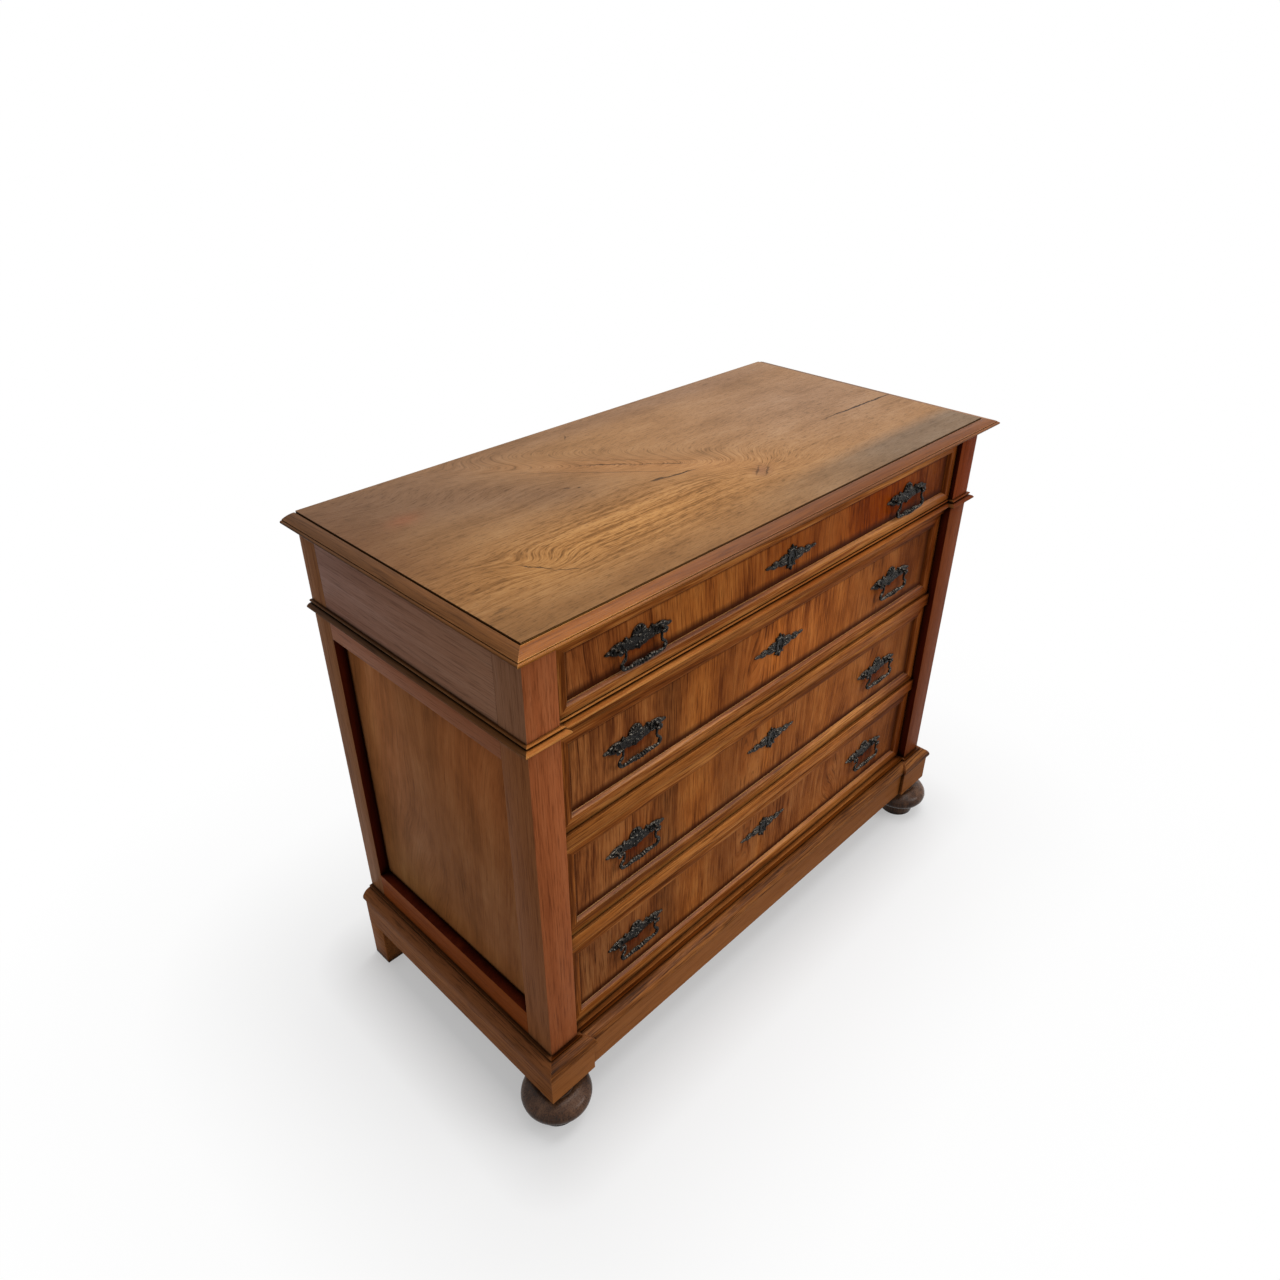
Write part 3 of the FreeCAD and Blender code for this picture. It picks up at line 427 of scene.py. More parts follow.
# Paler gold for rubbed edges, which is wear and a painted highlight.
WORN_HIGHLIGHT_GOLD = (0.85, 0.4, 0.11)
SIDE_WALNUT = ((0.29, 0.1, 0.034), (0.42, 0.155, 0.056), (0.5, 0.2, 0.08))
LOWER_WALNUT = ((0.23, 0.053, 0.01), (0.34, 0.08, 0.015), (0.42, 0.115, 0.025))
OLIVE_WALNUT = ((0.31, 0.115, 0.036), (0.48, 0.178, 0.058), (0.6, 0.25, 0.09))
GREY_WALNUT = ((0.38, 0.178, 0.1), (0.52, 0.256, 0.15), (0.6, 0.32, 0.2))
PURPLE_WALNUT = ((0.34, 0.115, 0.05), (0.48, 0.172, 0.08), (0.56, 0.22, 0.11))
RIM_WALNUT = ((0.13, 0.05, 0.015), (0.22, 0.085, 0.025), (0.36, 0.15, 0.045))
BASE_WALNUT = ((0.06, 0.018, 0.003), (0.21, 0.064, 0.012), (0.46, 0.165, 0.04))
BASE_BOARD_WALNUT = ((0.31, 0.105, 0.027), (0.4, 0.14, 0.038), (0.47, 0.175, 0.05))
BASE_SIDE_WALNUT = ((0.26, 0.087, 0.022), (0.4, 0.137, 0.038), (0.54, 0.205, 0.06))
BACK_POST_WALNUT = ((0.3, 0.115, 0.045), (0.43, 0.18, 0.076), (0.52, 0.23, 0.1))
DARK_WALNUT = ((0.03, 0.013, 0.007), (0.085, 0.036, 0.017), (0.17, 0.08, 0.04))
SHADE_WALNUT = ((0.05, 0.006, 0.0015), (0.11, 0.015, 0.004), (0.16, 0.026, 0.007))
PALE_DEAL = ((0.3, 0.155, 0.062), (0.48, 0.285, 0.13), (0.62, 0.41, 0.21))
print("a tone runs from dark", RED_WALNUT[0], "to light", RED_WALNUT[-1])

# %% Plain walnut finishes
# Washes. The ones that darken the right end, of the post, the rails, the frames and the plinth, are painted
# shade where the right post and the fall of the light leave it darker; the one at the top of the plinth
# moulding is painted shade in its quirk.
SHADED_END = ((0.42, 0.29, 0.22), ("X", 0.34, 0.5))
RIGHT_POST_SHADE = ((0.47, 0.4, 0.34), ("X", 0.3, 0.5))
RIGHT_POST_TOP = ((1.0, 0.76, 0.62), ("X", 0.3, 0.5), ("Z", 0.78, 0.84))
FRIEZE_GREY = ((1.0, 1.25, 1.8), ("Z", 0.7925, 0.8225))
FRIEZE_BACK = ((0.82, 0.82, 1.0), ("Y", -0.2, 0.28))
PALE_RAIL = ((1.45, 1.6, 1.8), ("Z", 0.365, 0.37), ("Z", 0.4, 0.397))
BASE_TOP_SHADE = ((0.52, 0.38, 0.2), ("Z", 0.1745, 0.1765))
BASE_FAR_SHADE = ((0.8, 0.8, 0.72), ("X", -0.35, 0.3))
BASE_RIGHT_SHADE = ((0.68, 0.63, 0.5), ("X", -0.2, 0.45))
BASE_RIM = ((0.72, 0.74, 0.88), ("Z", 0.1325, 0.1525))
PLAIN_FINISHES = {
    "post_walnut": ("Z", RED_WALNUT, {"pores": 0.4, "wear": 0.5, "washes": [RIGHT_POST_SHADE, RIGHT_POST_TOP]}),
    "post_side_walnut": ("Z", SIDE_WALNUT, {"pores": 0.3, "wear": 0.4, "washes": [FRIEZE_GREY]}),
    "back_post_walnut": ("Z", BACK_POST_WALNUT, {"pores": 0.3, "wear": 0.4}),
    "rail_walnut": ("X", GOLD_WALNUT, {"wear": 0.6, "washes": [SHADED_END, PALE_RAIL]}),
    "frieze_walnut": ("Y", GREY_WALNUT, {"dirt": 0.01, "pores": 0.3, "washes": [FRIEZE_BACK]}),
    "side_rail_walnut": ("Y", PURPLE_WALNUT, {"dirt": 0.008, "pores": 0.3, "wear": 0.4}),
    "lower_rail_walnut": ("Y", LOWER_WALNUT, {"pores": 0.3, "wear": 0.3}),
    "shade_walnut": ("Z", SHADE_WALNUT, {"pores": 0.2}),
    "foot_walnut": (
        "Z", DARK_WALNUT, {"waver": 0.03, "sheen": 0.22, "gloss": 0.12, "dusted": 0.2, "contrast": 1.5},
    ),
    "base_walnut": ("X", BASE_WALNUT, {
        "wear": 0.7, "sheen": 0.3, "dusted": 0.085, "contrast": 1.8, "washes": [BASE_TOP_SHADE, BASE_FAR_SHADE],
    }),
    "base_board": ("X", BASE_BOARD_WALNUT, {"wear": 0.5, "pores": 0.3, "washes": [BASE_RIGHT_SHADE]}),
    "base_side_walnut": ("Y", BASE_SIDE_WALNUT, {"wear": 0.4, "washes": [BASE_RIM]}),
    "deal_x": ("X", PALE_DEAL, {"sheen": 0.62}),
    "deal_y": ("Y", PALE_DEAL, {"sheen": 0.62}),
    "deal_z": ("Z", PALE_DEAL, {"sheen": 0.62}),
}
woods = {}
for name, (along, tones, finish) in PLAIN_FINISHES.items():
    woods[name] = straight_wood(name, along, tones, **finish)
print("plain woods:", len(woods))

# %% Border of the drawer panels
FRAME_FLATS = {"drawer_1": (18 * MM, 14 * MM)}
USUAL_FLATS = (24 * MM, 22 * MM)
FRAME_BEVEL = 5 * MM
# Bands of dirt and painted shade along each side of a drawer panel, as shares of its recess: widest at the
# bottom and on the right.
PANEL_DIRT_AND_SHADE = (
    ("X", False, 0.15, 0.7, 0.7),
    ("X", True, 0.5, 3.6, 0.85),
    ("Z", False, 0.9, 2.7, 0.92),
    ("Z", True, 0.15, 0.7, 0.6),
)


def frame_insets(drawer):
    """How far the flat of a drawer's frame reaches inwards, sideways and up, and how far its bevel does."""
    side, edge = FRAME_FLATS.get(drawer, USUAL_FLATS)
    grow = 1.0 + FRAME_BEVEL / edge
    return (side, edge), (side * grow, edge * grow)


def panel_box(drawer):
    """Corners of the part of a drawer's front that shows inside its frame."""
    low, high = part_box(f"{drawer}_front_frame")
    side, edge = frame_insets(drawer)[1]
    inset = Vector((side, 0.0, edge))
    return low + inset, high - inset


def edge_dirt(tree, place, low, high):
    """Dirt and painted shade along the border of an upright panel, most of it at the bottom and on the right.
    """
    parts = split(tree, place)
    dirt, recess = 0.0, high.y - low.y
    for axis, far, solid, width, depth in PANEL_DIRT_AND_SHADE:
        edge = (high if far else low)[AXES.index(axis)]
        gap = calc(tree, "ABSOLUTE", calc(tree, "SUBTRACT", parts[axis], edge))
        dirt = calc(tree, "MAXIMUM", dirt, rescale(tree, gap, solid * recess, width * recess, depth, 0.0))
    return dirt


print("top panel reaches from", *[tuple(corner) for corner in panel_box("drawer_1")])

# %% Figured walnut
SLOW_SCALE = (2.4, 6.0, 1.0)
MOTTLE_SCALE = (6.0, 16.0, 1.0)
MOTTLE_DETAIL, MOTTLE_ROUGH = 4.0, 0.62
FIGURE_ROUGH = 0.64
FAINT_LINES = 0.45
TEAR_SCALE, TEAR_DETAIL, TEAR_REACH = 70.0, 3.0, 9 * MM
TEAR_EDGE = (0.2, 0.7)
FIGURED_FINISH = {**USUAL_FINISH, "tints": (), "cracks": (), "panel": None, "bold": ()}


def hill(tree, flat, centre, size, turn=0.0):
    """One at a centre on the board's plane, falling to zero over a turned oval."""
    turned_by = (0.0, 0.0, math.radians(turn))
    inputs = {"Vector": flat, "Location": (*centre, 0.0), "Rotation": turned_by, "Scale": (*size, 1.0)}
    moved = add_node(tree, "Mapping", inputs, vector_type="TEXTURE")[0]
    reach = vector_calc(tree, "DOT_PRODUCT", moved, moved, output="Value")
    return calc(tree, "EXPONENT", times(tree, reach, -1.0))


def figured_wood(
    name, plane, hills, freq, waver=0.02, slant=0.0, stretch=LINE_STRETCH, fibre=FIBRE_STRETCH, **finish
):
    """Wood whose lines are contours of a hilly map on a plane; plane gives the along and across axes."""
    paint, tree, shader = new_paint(name)
    look = {**FIGURED_FINISH, **finish}
    place = object_place(tree)
    parts = split(tree, place)
    along, across = [parts[axis] for axis in plane]
    flat = add_node(tree, "CombineXYZ", {0: along, 1: across})[0]

    def hilly(rows):
        """Hills on the plane, each with the values that stand before it in its row."""
        return [(hill(tree, flat, *spot), *values) for values, spot in rows]

    def scaled(scale):
        """The plane drawn to another scale."""
        return add_node(tree, "Mapping", {"Vector": flat, "Scale": scale})[0]

    sway = calc(tree, "SUBTRACT", noise(tree, scaled(SLOW_SCALE), 1.0, SOFT_DETAIL), 0.5)
    rises = hilly([((height,), spot) for height, *spot in hills])
    level = weighted(tree, [(across, 1.0), (along, slant), (sway, waver), *rises])

    def streaks(scale, drawn_out, detail):
        """Noise along the contours of the map."""
        drawn = add_node(tree, "CombineXYZ", {0: level, 1: times(tree, along, 1 / drawn_out)})[0]
        return noise(tree, drawn, scale, detail, FIGURE_ROUGH)

    broad = streaks(freq * BROAD_SHARE, stretch, SOFT_DETAIL)
    growth = streaks(freq, stretch, LINE_DETAIL)
    fine, coarse = [streaks(scale, fibre, SOFT_DETAIL) for scale in (FINE_PORES, COARSE_PORES)]
    mottle = noise(tree, scaled(MOTTLE_SCALE), 1.0, MOTTLE_DETAIL, MOTTLE_ROUGH)
    centred = [calc(tree, "SUBTRACT", layer, 0.5) for layer in (broad, growth, coarse, mottle)]
    *line_shares, mottle_share = look["shares"]
    lines = weighted(tree, zip(centred, line_shares))
    if look["bold"]:
        strength = weighted(tree, hilly([((share,), spot) for share, *spot in look["bold"]]))
        lines = times(tree, lines, calc(tree, "ADD", strength, FAINT_LINES))
    value = calc(tree, "ADD", weighted(tree, ((lines, 1.0), (centred[3], mottle_share))), 0.5)
    tints = hilly([((tint, share), spot) for tint, share, *spot in look["tints"]])
    tints += washed(tree, place, look["washes"])
    marks = None
    if look["cracks"]:
        torn = jostled(tree, flat, TEAR_SCALE, TEAR_DETAIL, TEAR_REACH, 0.5)
        marks = 0.0
        for depth, *spot in look["cracks"]:
            crack = rescale(tree, hill(tree, torn, *spot), *TEAR_EDGE, 0.0, depth)
            marks = calc(tree, "MAXIMUM", marks, crack)
    if look["panel"]:
        marks = edge_dirt(tree, place, *look["panel"])
    finish_wood(tree, shader, value, pore_lines(tree, fine, coarse, look["pores"]), look, tints, marks)
    return paint


print("a figured finish has", len(FIGURED_FINISH), "values")

# %% Figure of the side panels
SIDE_PANEL_HILLS = (
    (0.04, (0.42, 0.06), (0.26, 0.06), 12.0),
    (-0.03, (0.6, -0.08), (0.2, 0.07), -10.0),
)
SIDE_PANEL_TINTS = (
    ((1.32, 1.22, 1.12), 0.9, (0.66, 0.17), (0.18, 0.06)),
    ((0.84, 0.8, 0.68), 0.9, (0.38, 0.03), (0.2, 0.12)),
    ((1.18, 1.0, 0.9), 0.9, (0.7, -0.12), (0.14, 0.14)),
    ((0.9, 0.86, 0.84), 0.9, (0.36, -0.16), (0.22, 0.1)),
    ((0.95, 1.1, 1.1), 0.8, (0.26, 0.17), (0.1, 0.08)),
)
panel_walnut = figured_wood(
    "panel_walnut", "ZY", SIDE_PANEL_HILLS, 90.0, waver=0.05, slant=0.14, tones=OLIVE_WALNUT,
    shares=(0.4, 0.24, 0.16, 0.5), tints=SIDE_PANEL_TINTS, dirt=0.008, pores=0.2,
)
print("side panels have", len(SIDE_PANEL_HILLS), "hills")

# %% Figure of the top
TOP_TONES = ((0.182, 0.085, 0.0285), (0.315, 0.156, 0.058), (0.4, 0.217, 0.09))
TOP_HILLS = (
    (0.11, (-0.11, 0.085), (0.26, 0.045), -40.0),
    (0.03, (-0.42, -0.1), (0.06, 0.03), -38.0),
    (0.03, (0.068, -0.112), (0.035, 0.014), 32.0),
    (-0.03, (0.32, 0.09), (0.3, 0.11), -8.0),
    (0.05, (-0.45, 0.2), (0.16, 0.07), -40.0),
)
TOP_BOLD = (
    (2.2, (-0.24, -0.1), (0.34, 0.075)),
    (0.5, (-0.1, 0.08), (0.2, 0.05), -40.0),
    (0.5, (-0.3, 0.09), (0.12, 0.08), -30.0),
)
# The bluer, greyer tints at the back, the back left and the right are painted sheen on the top; the others
# follow the figure.
TOP_TINTS = (
    ((1.22, 1.1, 0.8), 1.0, (-0.24, -0.105), (0.36, 0.085)),
    ((1.16, 1.06, 0.95), 0.9, (-0.08, 0.06), (0.2, 0.035), -42.0),
    ((1.06, 1.06, 1.05), 1.0, (0.14, 0.08), (0.24, 0.16)),
    ((0.64, 0.68, 0.92), 0.95, (-0.42, 0.19), (0.24, 0.13), -25.0),
    ((0.55, 0.48, 0.5), 0.85, (-0.575, 0.1), (0.1, 0.24)),
    ((0.68, 0.68, 0.76), 0.7, (-0.25, 0.055), (0.1, 0.05), -32.0),
    ((0.88, 1.0, 1.5), 0.8, (0.42, 0.06), (0.34, 0.22)),
    ((0.76, 0.72, 0.68), 0.9, (-0.35, -0.225), (0.36, 0.035)),
    ((0.72, 0.76, 1.0), 0.8, (0.1, 0.275), (0.6, 0.05)),
    ((1.3, 0.9, 0.85), 0.6, (-0.468, 0.145), (0.03, 0.018), 10.0),
    ((0.72, 0.66, 0.8), 0.9, (0.064, -0.1155), (0.026, 0.014), 32.0),
)
# Greyer strip along the front on the right: painted sheen.
TOP_STRIP_SHEEN = ((0.6, 0.74, 1.06), ("Y", -0.155, -0.19), ("X", -0.12, 0.3))
TOP_CRACKS = (
    (0.85, (-0.427, -0.112), (0.026, 0.0014), -58.0),
    (0.75, (-0.4, -0.147), (0.024, 0.0012), -36.0),
    (0.9, (-0.1, 0.088), (0.05, 0.0018), -42.0),
    (0.7, (-0.03, 0.024), (0.06, 0.0014), -42.0),
    (0.4, (-0.132, 0.072), (0.15, 0.0018), -43.0),
    (0.3, (-0.05, 0.068), (0.16, 0.0016), -44.0),
    (0.9, (-0.05, -0.025), (0.045, 0.0024), -10.0),
    (0.8, (-0.085, -0.016), (0.016, 0.0034), -8.0),
    (0.95, (0.47, -0.041), (0.13, 0.0026), -1.5),
    (0.55, (0.058, -0.11), (0.022, 0.0022), 32.0),
    (0.6, (0.07, -0.121), (0.022, 0.0022), 32.0),
    (0.7, (-0.216, 0.06), (0.008, 0.0022), -30.0),
    (0.8, (-0.2, 0.05), (0.004, 0.002), 0.0),
    (0.6, (-0.064, 0.237), (0.012, 0.0016), 50.0),
    (0.4, (-0.532, -0.172), (0.014, 0.004), 0.0),
)
top_walnut = figured_wood(
    "top_walnut", "XY", TOP_HILLS, 170.0, stretch=70.0, fibre=9.0, tones=TOP_TONES,
    shares=(0.15, 0.42, 0.3, 0.36), bold=TOP_BOLD, tints=TOP_TINTS, washes=[TOP_STRIP_SHEEN], cracks=TOP_CRACKS,
    sheen=0.4, gloss=0.045, dusted=0.045, dirt=0.01, pores=0.35,
)
print("top has", len(TOP_CRACKS), "cracks and dents")

# %% Stripes of the drawer fronts
DRAWER_TONES = ((0.18, 0.044, 0.009), (0.41, 0.12, 0.025), (0.55, 0.19, 0.045))
DRAWER_SHARES = (0.45, 0.42, 0.4, 0.58)
PANEL_SHADE = (0.05, 0.0095, 0.002)
HANDLE_SHADE, HANDLE_SHADE_SHARE = (0.4, 0.18, 0.12), 0.85
HANDLE_SHADE_SIZE = (0.026, 0.045)
HANDLE_X = 0.35
STRIPE_LINES, OWN_SLANT = 190.0, 0.1
HANDLE_DROP = 8 * MM
OWN_HILLS = ((0.04, (0.88, 0.1), (0.2, 0.1)),)
OWN_BOLD = ((0.5, (0.88, 0.0), (2.0, 2.0)),)
# The last row darkens the right end of the top drawer: painted shade of the right post.
OWN_TINTS = (
    ((0.85, 0.82, 0.95), 0.9, (0.88, -0.5), (2.0, 0.12)),
    ((1.1, 1.04, 0.8), 0.8, (0.88, -0.22), (2.0, 0.14)),
    ((0.84, 0.67, 0.44), 0.9, (0.88, 0.0), (2.0, 0.1)),
    ((0.74, 0.4, 0.03), 1.0, (0.88, 0.27), (2.0, 0.16)),
    ((0.5, 0.36, 0.2), 1.0, (0.88, 0.5), (2.0, 0.14)),
)
FLITCH_HILLS = (
    (0.06, (0.45, -0.09), (0.5, 0.04)),
    (0.05, (0.3, 0.2), (0.2, 0.05), 8.0),
    (-0.04, (0.65, 0.36), (0.25, 0.05), -5.0),
)
FLITCH_BOLD = (
    (0.6, (0.45, -0.45), (2.0, 0.2)),
    (0.45, (0.45, 0.02), (2.0, 0.16)),
    (0.6, (0.27, 0.14), (0.09, 0.3)),
)
# The rows centred near the right end darken it: painted shade of the right post.
FLITCH_TINTS = (
    ((0.94, 1.02, 1.3), 0.9, (0.35, -0.45), (0.4, 0.12)),
    ((0.82, 0.84, 1.0), 0.9, (0.28, 0.1), (0.12, 0.3)),
    ((1.38, 1.3, 1.16), 0.9, (0.71, 0.02), (0.1, 0.14)),
    ((1.09, 1.22, 1.45), 0.9, (0.71, -0.45), (0.1, 0.12)),
    ((0.82, 0.87, 0.96), 0.9, (0.275, -0.45), (0.1, 0.14)),
    ((0.72, 0.78, 0.9), 0.9, (0.45, -0.275), (2.0, 0.03)),
    ((0.72, 0.62, 0.52), 0.9, (0.71, 0.47), (0.1, 0.12)),
    ((1.15, 1.15, 1.0), 0.9, (0.45, -0.2), (2.0, 0.045)),
    ((0.8, 0.79, 0.8), 0.8, (0.45, -0.12), (2.0, 0.04)),
    ((1.12, 1.1, 1.0), 0.9, (0.45, 0.17), (2.0, 0.06)),
    ((1.3, 1.3, 1.1), 0.8, (0.45, -0.006), (2.0, 0.012)),
    ((0.6, 0.56, 0.5), 0.9, (0.45, 0.49), (2.0, 0.1)),
)


def drawer_veneer(drawer):
    """Upright stripes, with dirt and painted shade along the border of the panel and painted shade round the
    handles; the lower drawers share one flitch.
    """
    low, high = panel_box(drawer)
    height = (low.z + high.z) / 2 - HANDLE_DROP
    shades = []
    for hand in HANDS:
        spot = ((height, hand * HANDLE_X), HANDLE_SHADE_SIZE)
        shades.append((HANDLE_SHADE, HANDLE_SHADE_SHARE, *spot))
    hills, bold, tints, slant = FLITCH_HILLS, FLITCH_BOLD, FLITCH_TINTS, 0.0
    if drawer == "drawer_1":
        hills, bold, tints, slant = OWN_HILLS, OWN_BOLD, OWN_TINTS, OWN_SLANT
    return figured_wood(
        f"{drawer}_veneer", "ZX", hills, STRIPE_LINES, slant=slant, panel=(low, high), dirt=0.008, bold=bold,
        tints=(*tints, *shades), tones=DRAWER_TONES, shares=DRAWER_SHARES, mark=PANEL_SHADE,
    )


veneers = {drawer: drawer_veneer(drawer) for drawer in DRAWERS}
print("drawer veneers:", len(veneers))

# %% [markdown]
# ## Making a piece
# A piece of the dressed chest rides on the body that carries it and stands for the plain nodes it covers.
# Boards start as copies of their plain nodes. The copies are welded, because a loaded node is loose
# triangles, and their sharp edges are eased: no edge on old furniture is truly sharp, and the narrow rounding
# is what catches the light.

# %% Piece helpers
SMOOTH_ANGLE = math.radians(34.0)
SHARP_ANGLE = math.radians(30.0)
FLAT_ANGLE = math.radians(1.0)
MERGE = 0.01 * MM
EASE = 0.6 * MM
ALONG = 0.99


def make_piece(shape, name, body, slot, paints, *covered):
    """Turn a finished shape into a piece that rides on a body and stands for plain nodes."""
    bmesh.ops.recalc_face_normals(shape, faces=shape.faces)
    mesh = bpy.data.meshes.new(name)
    shape.to_mesh(mesh)
    shape.free()
    mesh.shade_smooth()
    mesh.set_sharp_from_angle(angle=SMOOTH_ANGLE)
    for paint in paints:
        mesh.materials.append(paint)
    piece = bpy.data.objects.new(name, mesh)
    scene.collection.objects.link(piece)
    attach(piece, body)
    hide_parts(*covered)


def paint_node(node, paint):
    """Give a plain node that stays its own finish."""
    slots = frame["nodes"][node].data.materials
    slots.clear()
    slots.append(paint)


def ease_edges(shape, edges, width=EASE):
    """Round edges off with two narrow facets."""
    bmesh.ops.bevel(
        shape, geom=edges, offset=width, offset_type="OFFSET", segments=2, profile=0.5,
        affect="EDGES", material=-1, clamp_overlap=True,
    )


def block(shape, middle, size):
    """Add a block by its middle and size."""
    place = Matrix.Translation(middle) @ Matrix.Diagonal((*size, 1.0))
    bmesh.ops.create_cube(shape, size=1.0, matrix=place)


def extruded(shape, faces):
    """Extrude faces that stay where they are, and give the far vertices, which are still to be moved."""
    grown = bmesh.ops.extrude_face_region(shape, geom=faces, use_keep_orig=True)["geom"]
    return [item for item in grown if isinstance(item, bmesh.types.BMVert)]


def finish_length(shape, verts, run, paint, ease):
    """Paint one length of timber and ease the edges that run along it."""
    faces = {face for vert in verts for face in vert.link_faces}
    for face in faces:
        face.material_index = paint
    rims = []
    for edge in {edge for face in faces for edge in face.edges}:
        direction = (edge.verts[1].co - edge.verts[0].co).normalized()
        if abs(direction.dot(run)) > ALONG and edge.calc_face_angle() > SHARP_ANGLE:
            rims.append(edge)
    ease_edges(shape, rims, ease)


print("edges are eased by", EASE / MM, "mm")

# %% Boards of the carcase
FRONT_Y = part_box("front_posts")[0].y
SIDE_BACK_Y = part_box("side_rails")[1].y
FACES = 0.7


def eased_copy(node):
    """A welded copy of a node with its sharp edges eased."""
    shape = bmesh.new()
    shape.from_mesh(frame["nodes"][node].data)
    bmesh.ops.remove_doubles(shape, verts=shape.verts, dist=MERGE)
    bmesh.ops.dissolve_limit(shape, angle_limit=FLAT_ANGLE, verts=shape.verts, edges=shape.edges)
    sharp = [edge for edge in shape.edges if edge.is_manifold and edge.calc_face_angle() > SHARP_ANGLE]
    ease_edges(shape, sharp)
    return shape


def post_paint(normal, place):
    """Front faces 0, side faces 1, and the shaded faces in the recesses 2."""
    if abs(normal.x) > FACES:
        return 1 if normal.x * place.x > 0 else 2
    sunk = abs(place.y - FRONT_Y) > MM and place.y < SIDE_BACK_Y
    return 2 if abs(normal.y) > FACES and sunk else 0


def side_rail_paint(normal, place):
    """Outer faces of the upper rail 0 and of the lower rail 1, and the shaded ledges of the recess 2."""
    if abs(normal.z) > FACES:
        return 2
    return 0 if place.z > CHEST_HIGH.z / 2 else 1


BOARDS = {
    "front_posts": (("post_walnut", "post_side_walnut", "shade_walnut"), post_paint),
    "back_posts": (("back_post_walnut", "back_post_walnut", "shade_walnut"), post_paint),
    "frieze_boards": (("frieze_walnut",), None),
    "side_rails": (("side_rail_walnut", "lower_rail_walnut", "shade_walnut"), side_rail_paint),
    "side_panels": (("panel_walnut",), None),
    "front_rails": (("rail_walnut",), None),
    "back_feet": (("base_side_walnut",), None),
}
woods["panel_walnut"] = panel_walnut
for node, (names, choose) in BOARDS.items():
    board = eased_copy(node)
    if choose:
        board.normal_update()
        for face in board.faces:
            face.material_index = choose(face.normal, face.calc_center_median())
    slot = "feet" if node == "back_feet" else "walnut"
    make_piece(board, f"eased_{node}", CARCASE, slot, [woods[name] for name in names], node)
paint_node("top_board", top_walnut)
paint_node("drawer_runners", woods["deal_y"])
paint_node("bottom_board", woods["deal_x"])
print("eased boards:", len(BOARDS))

# %% Back boards
BACK_BOARD_COUNT = 4
BACK_EASE = 2.2 * MM

back_low, back_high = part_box("back_boards")
board_size = back_high - back_low
board_size.x /= BACK_BOARD_COUNT
back_shape = bmesh.new()
for number in range(BACK_BOARD_COUNT):
    block(back_shape, back_low + board_size / 2 + Vector((board_size.x * number, 0.0, 0.0)), board_size)
ease_edges(back_shape, back_shape.edges[:], BACK_EASE)
make_piece(back_shape, "plank_back", CARCASE, "inner_wood", [woods["deal_z"]], "back_boards")
print("back boards:", BACK_BOARD_COUNT)

# %% [markdown]
# ## Mouldings
# A moulding is one profile run along a wall and mitred where the wall turns. Each length is extruded from
# its profile, and its far end is slid along the mitre. The round stretches of a profile are arcs: each is
# given by its end and by how far it leaves its chord, as a share of the chord, and is halved until it looks
# round.

# %% Moulding helpers
ARC_HALVINGS = 3
MOULD_EASE = 0.35 * MM


def arc_corners(start, end, bow, halvings=ARC_HALVINGS):
    """Corners along an arc, which leaves its chord to the left by a share of the chord."""
    across, up = end[0] - start[0], end[1] - start[1]
    middle = ((start[0] + end[0]) / 2 - up * bow, (start[1] + end[1]) / 2 + across * bow)
    if halvings == 1:
        return [middle, end]
    half_bow = math.tan(math.atan(2 * bow) / 2) / 2
    first = arc_corners(start, middle, half_bow, halvings - 1)
    return first + arc_corners(middle, end, half_bow, halvings - 1)


def outline_corners(points):
    """An outline's corners in metres, from points in millimetres with a bow where an arc arrives."""
    corners = []
    for last, point in zip(points[-1:] + points, points):
        corners += arc_corners(last[:2], point[:2], point[2]) if len(point) == 3 else [point]
    return [(across * MM, up * MM) for across, up in corners]


def outward(start, end):
    """Unit plan direction to the right of a wall, which is its open side."""
    run = (end - start).normalized()
    return Vector((run.y, -run.x))


def mitres(path):
    """Plan vector along each corner's mitre for one unit of projection."""
    normals = [outward(start, end) for start, end in zip(path, path[1:])]
    pairs = zip(normals[:1] + normals, normals + normals[-1:])
    return [(before + after) / (1.0 + before.dot(after)) for before, after in pairs]


def moulding(path, points, top):
    """Lengths of moulding along a plan path; runs along Y take the second paint."""
    shape = bmesh.new()
    path = [Vector(corner) for corner in path]
    slides = mitres(path)
    profile = outline_corners(points)
    for number, (start, end) in enumerate(zip(path, path[1:])):
        normal, run = outward(start, end), (end - start).normalized()
        verts = [shape.verts.new((*(start + slides[number] * out), top + up)) for out, up in profile]
        moved = extruded(shape, [shape.faces.new(verts)])
        for vert in moved:
            out = (vert.co.xy - start).dot(normal)
            vert.co.xy = end + slides[number + 1] * out
        paint = 0 if abs(run.x) > abs(run.y) else 1
        finish_length(shape, verts + moved, run.to_3d(), paint, MOULD_EASE)
    return shape


print("an arc is drawn with", 2 ** ARC_HALVINGS, "sides")

# %% Profiles and paths
BODY_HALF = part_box("front_posts")[1].x
OPENING_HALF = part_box("front_rails")[1].x
TOP_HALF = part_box("top_board")[1].x
BACK_Y = CHEST_HIGH.y
WAIST_SETBACK = 11 * MM
PLINTH_SETBACK = 7 * MM
TOP_PROFILE = [
    (0, -1.5), (0.3, -4.2), (1.9, -4.2), (2.3, -1.9), (24, -6.5, 0.06), (24, -8), (25.5, -8),
    (25.5, -13, 0.5), (6, -24, -0.15), (0, -24),
]
WAIST_PROFILE = [
    (0, 0), (3.4, 0), (3.4, -3.6, 0.5), (1, -4), (1, -6), (11.5, -9.5, 0.14), (11.5, -11.5),
    (2.5, -15, -0.12), (0, -15),
]
PLINTH_PROFILE = [
    (0, 0), (6, 0), (6, -3), (4.5, -4.5), (6, -4.5), (24, -19.5, 0.16), (24, -23.5), (19.5, -28, -0.2),
    (19.5, -33), (0, -33),
]
BOARD_PROFILE = [(0, 0), (19.5, 0), (19.5, -56), (0, -56)]


